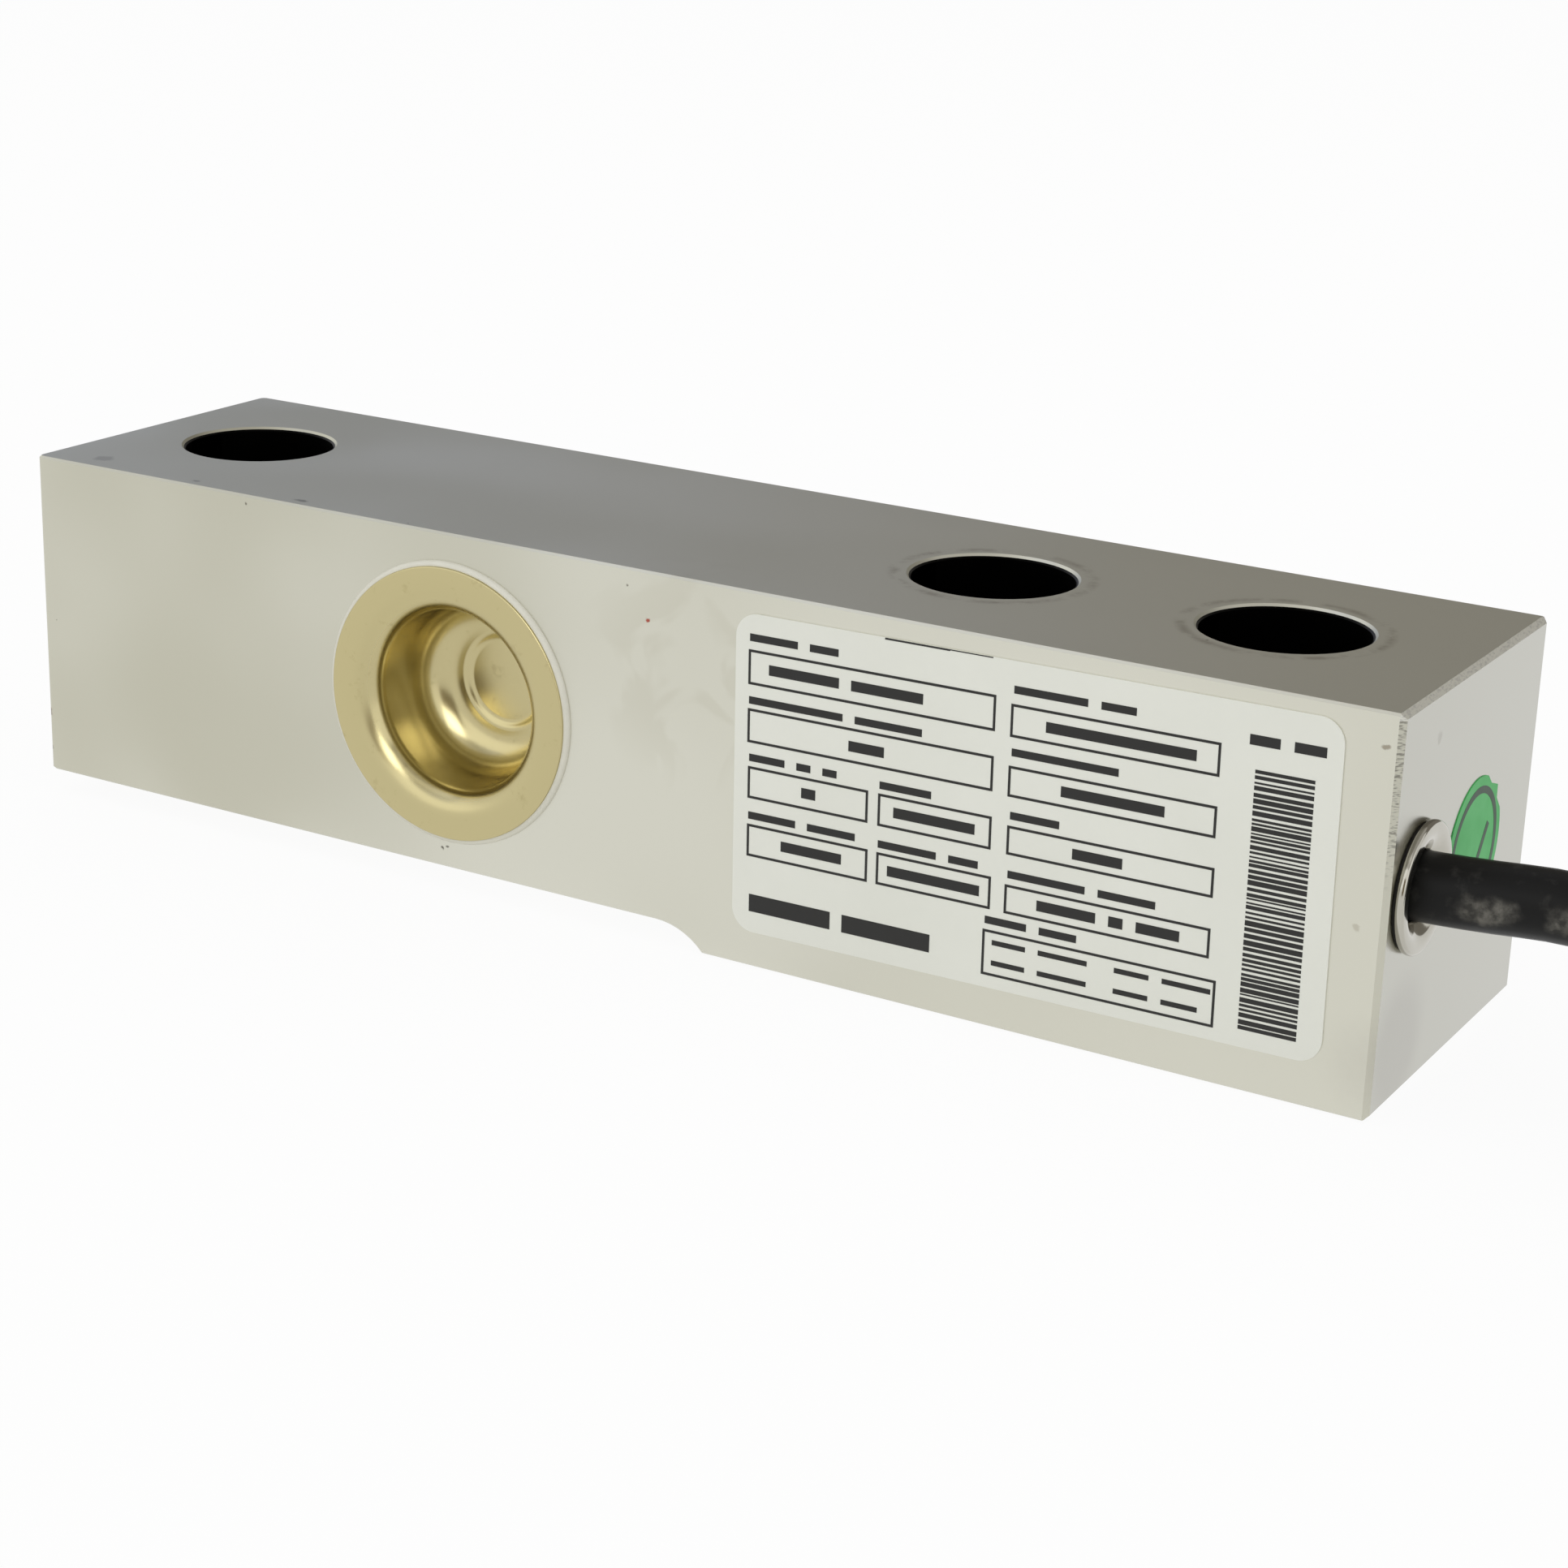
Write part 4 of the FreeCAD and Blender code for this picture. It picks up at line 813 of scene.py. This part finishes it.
# Signal cable: out of the bushing, down to the floor, then the turns of the tied hank
cord = {
    "diameter": 5.4,
    "route": [
        (22.95, -9.725, 16.9), (30.5, -9.725, 16.9), (42.5, -8.9, 17.8), (53.8, -9.4, 14.9),
        (63.5, -11.6, 8.6), (77.5, -14.4, 3.7), (91.5, -14.4, 3.7),
    ],
    "exit": (29.3, -9.725, 16.9),
    "nearFold": 108.0,
    "farFold": 166.8,
    "middle": 7.5,
    "radii": (21.9, 16.5),
    "lowest": 3.7,
    "turns": 12,
    "legShare": 0.247,
    "legPlaces": (0.0, 0.5, 1.0),
    "foldPoints": 6,
    "firstShift": 0.72,
    "shiftPitch": 0.96,
    "shiftWidth": 0.10,
    "climb": (11.10, 11.26),
    "topRadius": 19.2,
    "topHeight": 36.1,
    "tailStart": 162.8,
    "tailEnd": 155.0,
    "length": 2.84,
    "lengthSteps": 6,
    "roundSteps": 8,
}


def smooth(value):
    # a soft step from none to full
    value = np.clip(value, 0, 1)
    return value * value * (3 - 2 * value)


def hankCell(lap):
    # radius and height of the strand after so many laps:
    # rows out, in, in, out, and up a layer every two turns
    turn = np.arange(cord["turns"])
    radius = np.where((turn + 1) // 2 % 2 == 0, cord["radii"][0], cord["radii"][1])
    height = cord["lowest"] + turn // 2 * cord["diameter"]
    ends = cord["firstShift"] + turn[:-1] * cord["shiftPitch"]
    share = smooth((lap - ends + cord["shiftWidth"]) / cord["shiftWidth"])
    start, end = cord["climb"]
    climb = smooth((lap - start) / (end - start))
    r = radius[0] + np.sum(np.diff(radius) * share)
    z = height[0] + np.sum(np.diff(height) * share)
    return r + (cord["topRadius"] - r) * climb, z + (cord["topHeight"] - z) * climb


def hankPoints():
    # corners of a polygon drawn round each fold, which the curve touches at the middle of every side
    count = cord["foldPoints"]
    legShare = cord["legShare"]
    foldShare = 0.5 - legShare
    reach = math.tan(math.pi / 2 / count)
    points = []
    for turn in range(cord["turns"]):
        for half, sign in ((0.0, 1), (0.5, -1)):
            for share in cord["legPlaces"]:
                r, z = hankCell(turn + half + legShare * share)
                near, far = cord["nearFold"] + r * reach, cord["farFold"] - r * reach
                x = near + (far - near) * share if sign > 0 else far + (near - far) * share
                points.append((x, cord["middle"] - sign * r, z))
            fold = cord["farFold"] if sign > 0 else cord["nearFold"]
            for k in range(count):
                r, z = hankCell(turn + half + legShare + foldShare * (k + 0.5) / count)
                angle = math.pi * ((k + 0.5) / count - 0.5)
                stretch = sign * r / math.cos(math.pi / 2 / count)
                x = fold + stretch * math.cos(angle)
                points.append((x, cord["middle"] + stretch * math.sin(angle), z))
    # the last turn stops on the rear leg
    perHalf = len(cord["legPlaces"]) + count
    laid = perHalf * (2 * cord["turns"] - 1)
    y, z = points[laid][1:]
    return points[:laid] + [(cord["tailStart"], y, z), (cord["tailEnd"], y, z)]


route = np.array(cord["route"] + hankPoints()) * mm
cordCurve = bpy.data.curves.new("signalCable", "CURVE")
cordCurve.dimensions = "3D"
spline = cordCurve.splines.new("NURBS")
spline.points.add(len(route) - 1)
spline.points.foreach_set("co", np.column_stack([route, np.ones(len(route))]).ravel())
spline.order_u = 3
spline.use_endpoint_u = True
spline.resolution_u = cord["lengthSteps"]
cordCurve.resolution_u = cord["lengthSteps"]
cordCurve.bevel_depth = cord["diameter"] / 2 * mm
cordCurve.bevel_resolution = cord["roundSteps"]
cordCurve.use_fill_caps = True
cordCurve.materials.append(blackJacket)
cordPiece = bpy.data.objects.new("signalCable", cordCurve)
bpy.context.scene.collection.objects.link(cordPiece)
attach(cordPiece, "root")
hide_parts("signal_cable", "cable_hank", "cable_tail")
endNodes = ["hank_tie_front", "hank_tie_rear", "end_sleeve", "shield_drain"]
endNodes += ["lead_" + wireName for wireName in wireColours]
print("cable laid with", len(route), "points")

# Studio: white floor and surround, soft lamps, and cards that only mirror rays meet
studio = {
    "floor": "#f4f4f2",
    "floorSize": 8.0,
    "floorHeight": -0.0002,
    "floorGlow": 0.93,
    "surround": "#ffffff",
    "fill": 0.62,
    "lamps": [
        {"name": "keyLamp", "place": (-0.35, -0.75, 0.80), "size": 1.5, "watts": 2.8},
        {"name": "sideLamp", "place": (0.80, -0.45, 0.50), "size": 1.3, "watts": 1.2},
        {"name": "topLamp", "place": (0.0, 0.1, 1.0), "size": 1.5, "watts": 2.0},
        {"name": "flashLamp", "place": (0.16, -0.40, 0.32), "size": 0.28, "watts": 0.6,
         "only": ["frontSealingCup", "rearSealingCup"]},
    ],
    "aim": (-0.02, 0.0, 0.015),
    "cardLeft": "#a9aebf",
    "cardRight": "#88847d",
    "cardPlace": (-0.35, 0.75, 0.42),
    "cardSize": (2.2, 0.85),
    "cardBlend": (-0.8, -0.3),
    "frontCard": "#8a7d66",
    "frontPlace": (0.40, -0.95, 0.27),
    "frontSize": (0.75, 0.50),
    "ceilingHeight": 1.3,
    "ceilingSize": 2.6,
}


def seenWhite(tree):
    # camera, mirror and glass rays see the white; light that falls on the object does not
    path = addNode(tree, "ShaderNodeLightPath", {})
    either = addNode(tree, "ShaderNodeMath", {
        0: path.outputs["Is Camera Ray"], 1: path.outputs["Is Glossy Ray"]}, operation="MAXIMUM")
    seen = addNode(tree, "ShaderNodeMath", {
        0: either.outputs[0], 1: path.outputs["Is Transmission Ray"]}, operation="MAXIMUM")
    return seen.outputs[0]


def stagePlane(name, points, material):
    mesh = bpy.data.meshes.new(name)
    mesh.from_pydata(points, [], [(0, 1, 2, 3)])
    mesh.materials.append(material)
    plane = bpy.data.objects.new(name, mesh)
    bpy.context.scene.collection.objects.link(plane)
    return plane


def stageMaterial(name):
    material = bpy.data.materials.new(name)
    material.use_nodes = True
    material.node_tree.nodes.clear()
    return material, material.node_tree


# Pale floor paper: matt, white to the eye, with the object's shadow still on it
def floorPaper():
    material, tree = stageMaterial("paleFloorPaper")
    matt = addNode(tree, "ShaderNodeBsdfDiffuse", {"Color": linear(studio["floor"])})
    white = addNode(tree, "ShaderNodeEmission", {"Color": linear(studio["surround"]), "Strength": 1.0})
    share = addNode(tree, "ShaderNodeMath", {
        0: seenWhite(tree), 1: studio["floorGlow"]}, operation="MULTIPLY")
    both = addNode(tree, "ShaderNodeMixShader", {
        0: share.outputs[0], 1: matt.outputs[0], 2: white.outputs[0]})
    addNode(tree, "ShaderNodeOutputMaterial", {"Surface": both.outputs[0]})
    return material


# Grey card: what the top face mirrors, cooler towards the left
def cardPaper():
    material, tree = stageMaterial("greyCardPaper")
    place = addNode(tree, "ShaderNodeTexCoord", {})
    part = addNode(tree, "ShaderNodeSeparateXYZ", {0: place.outputs["Object"]})
    left, right = studio["cardBlend"]
    across = addNode(tree, "ShaderNodeMapRange", {
        "Value": part.outputs[0], "From Min": left, "From Max": right})
    grey = addNode(tree, "ShaderNodeMix", {
        0: across.outputs[0], 6: linear(studio["cardLeft"]), 7: linear(studio["cardRight"])},
        data_type="RGBA")
    glow = addNode(tree, "ShaderNodeEmission", {"Color": grey.outputs[2], "Strength": 1.0})
    addNode(tree, "ShaderNodeOutputMaterial", {"Surface": glow.outputs[0]})
    return material


# Dark card: the dark side of the room, which the cup and the bushing mirror
def darkPaper():
    material, tree = stageMaterial("darkCardPaper")
    glow = addNode(tree, "ShaderNodeEmission", {"Color": linear(studio["frontCard"]), "Strength": 1.0})
    addNode(tree, "ShaderNodeOutputMaterial", {"Surface": glow.outputs[0]})
    return material


def uprightPlane(name, middle, size, material):
    x, y, z = middle
    left, right = x - size[0] / 2, x + size[0] / 2
    low, high = z - size[1] / 2, z + size[1] / 2
    corners = [(left, y, low), (right, y, low), (right, y, high), (left, y, high)]
    return stagePlane(name, corners, material)


def flatPlane(name, size, height, material):
    half = size / 2
    corners = [(-half, -half, height), (half, -half, height), (half, half, height), (-half, half, height)]
    return stagePlane(name, corners, material)


flatPlane("studioFloor", studio["floorSize"], studio["floorHeight"], floorPaper())
greyPaper = cardPaper()
cards = [
    uprightPlane("greyCard", studio["cardPlace"], studio["cardSize"], greyPaper),
    uprightPlane("frontCard", studio["frontPlace"], studio["frontSize"], darkPaper()),
    flatPlane("greyCeiling", studio["ceilingSize"], studio["ceilingHeight"], greyPaper),
]
for card in cards:
    # only mirror rays meet it
    card.visible_camera = False
    card.visible_diffuse = False
    card.visible_shadow = False

world = bpy.data.worlds.new("studioSurround")
bpy.context.scene.world = world
world.use_nodes = True
world.node_tree.nodes.clear()
strength = addNode(world.node_tree, "ShaderNodeMapRange", {
    "Value": seenWhite(world.node_tree), "To Min": studio["fill"], "To Max": 1.0})
sky = addNode(world.node_tree, "ShaderNodeBackground", {
    "Color": linear(studio["surround"]), "Strength": strength.outputs[0]})
addNode(world.node_tree, "ShaderNodeOutputWorld", {"Surface": sky.outputs[0]})


def facing(place, aim, roll):
    # right, up and backward axes of something that looks from place to aim, turned about its line of sight
    forward = np.subtract(aim, place)
    forward = forward / np.linalg.norm(forward)
    right = np.cross(forward, (0, 0, 1.0))
    right /= np.linalg.norm(right)
    up = np.cross(right, forward)
    turn = math.radians(roll)
    turned = right * math.cos(turn) + up * math.sin(turn)
    matrix = np.eye(4)
    matrix[:3, 0] = turned
    matrix[:3, 1] = np.cross(turned, forward)
    matrix[:3, 2] = -forward
    matrix[:3, 3] = place
    return Matrix(matrix.tolist())


def placed(name, data, place, aim, roll=0.0):
    thing = bpy.data.objects.new(name, data)
    bpy.context.scene.collection.objects.link(thing)
    thing.matrix_world = facing(place, aim, roll)
    return thing


for lamp in studio["lamps"]:
    light = bpy.data.lights.new(lamp["name"], "AREA")
    light.size = lamp["size"]
    light.energy = lamp["watts"]
    lampPiece = placed(lamp["name"], light, lamp["place"], studio["aim"])
    if "only" in lamp:
        # the glints in the pressed metal, with no glare on the flat faces
        lit = bpy.data.collections.new(lamp["name"] + "Pieces")
        for pieceName in lamp["only"]:
            lit.objects.link(bpy.data.objects[pieceName])
        lampPiece.light_linking.receiver_collection = lit

# Camera: where the photograph was taken from, lens and sensor in mm
view = {
    "place": (0.10086, -0.2271, 0.09999),
    "aim": (-0.02319, -0.01465, 0.01585),
    "roll": 1.818,
    "lens": 74.18,
    "sensor": 36.0,
    "nearest": 0.01,
}
camera = bpy.data.cameras.new("photoCamera")
camera.lens = view["lens"]
camera.sensor_width = view["sensor"]
camera.clip_start = view["nearest"]
bpy.context.scene.camera = placed("photoCamera", camera, view["place"], view["aim"], view["roll"])
bpy.context.scene.view_settings.view_transform = "Standard"
print("studio and camera set")
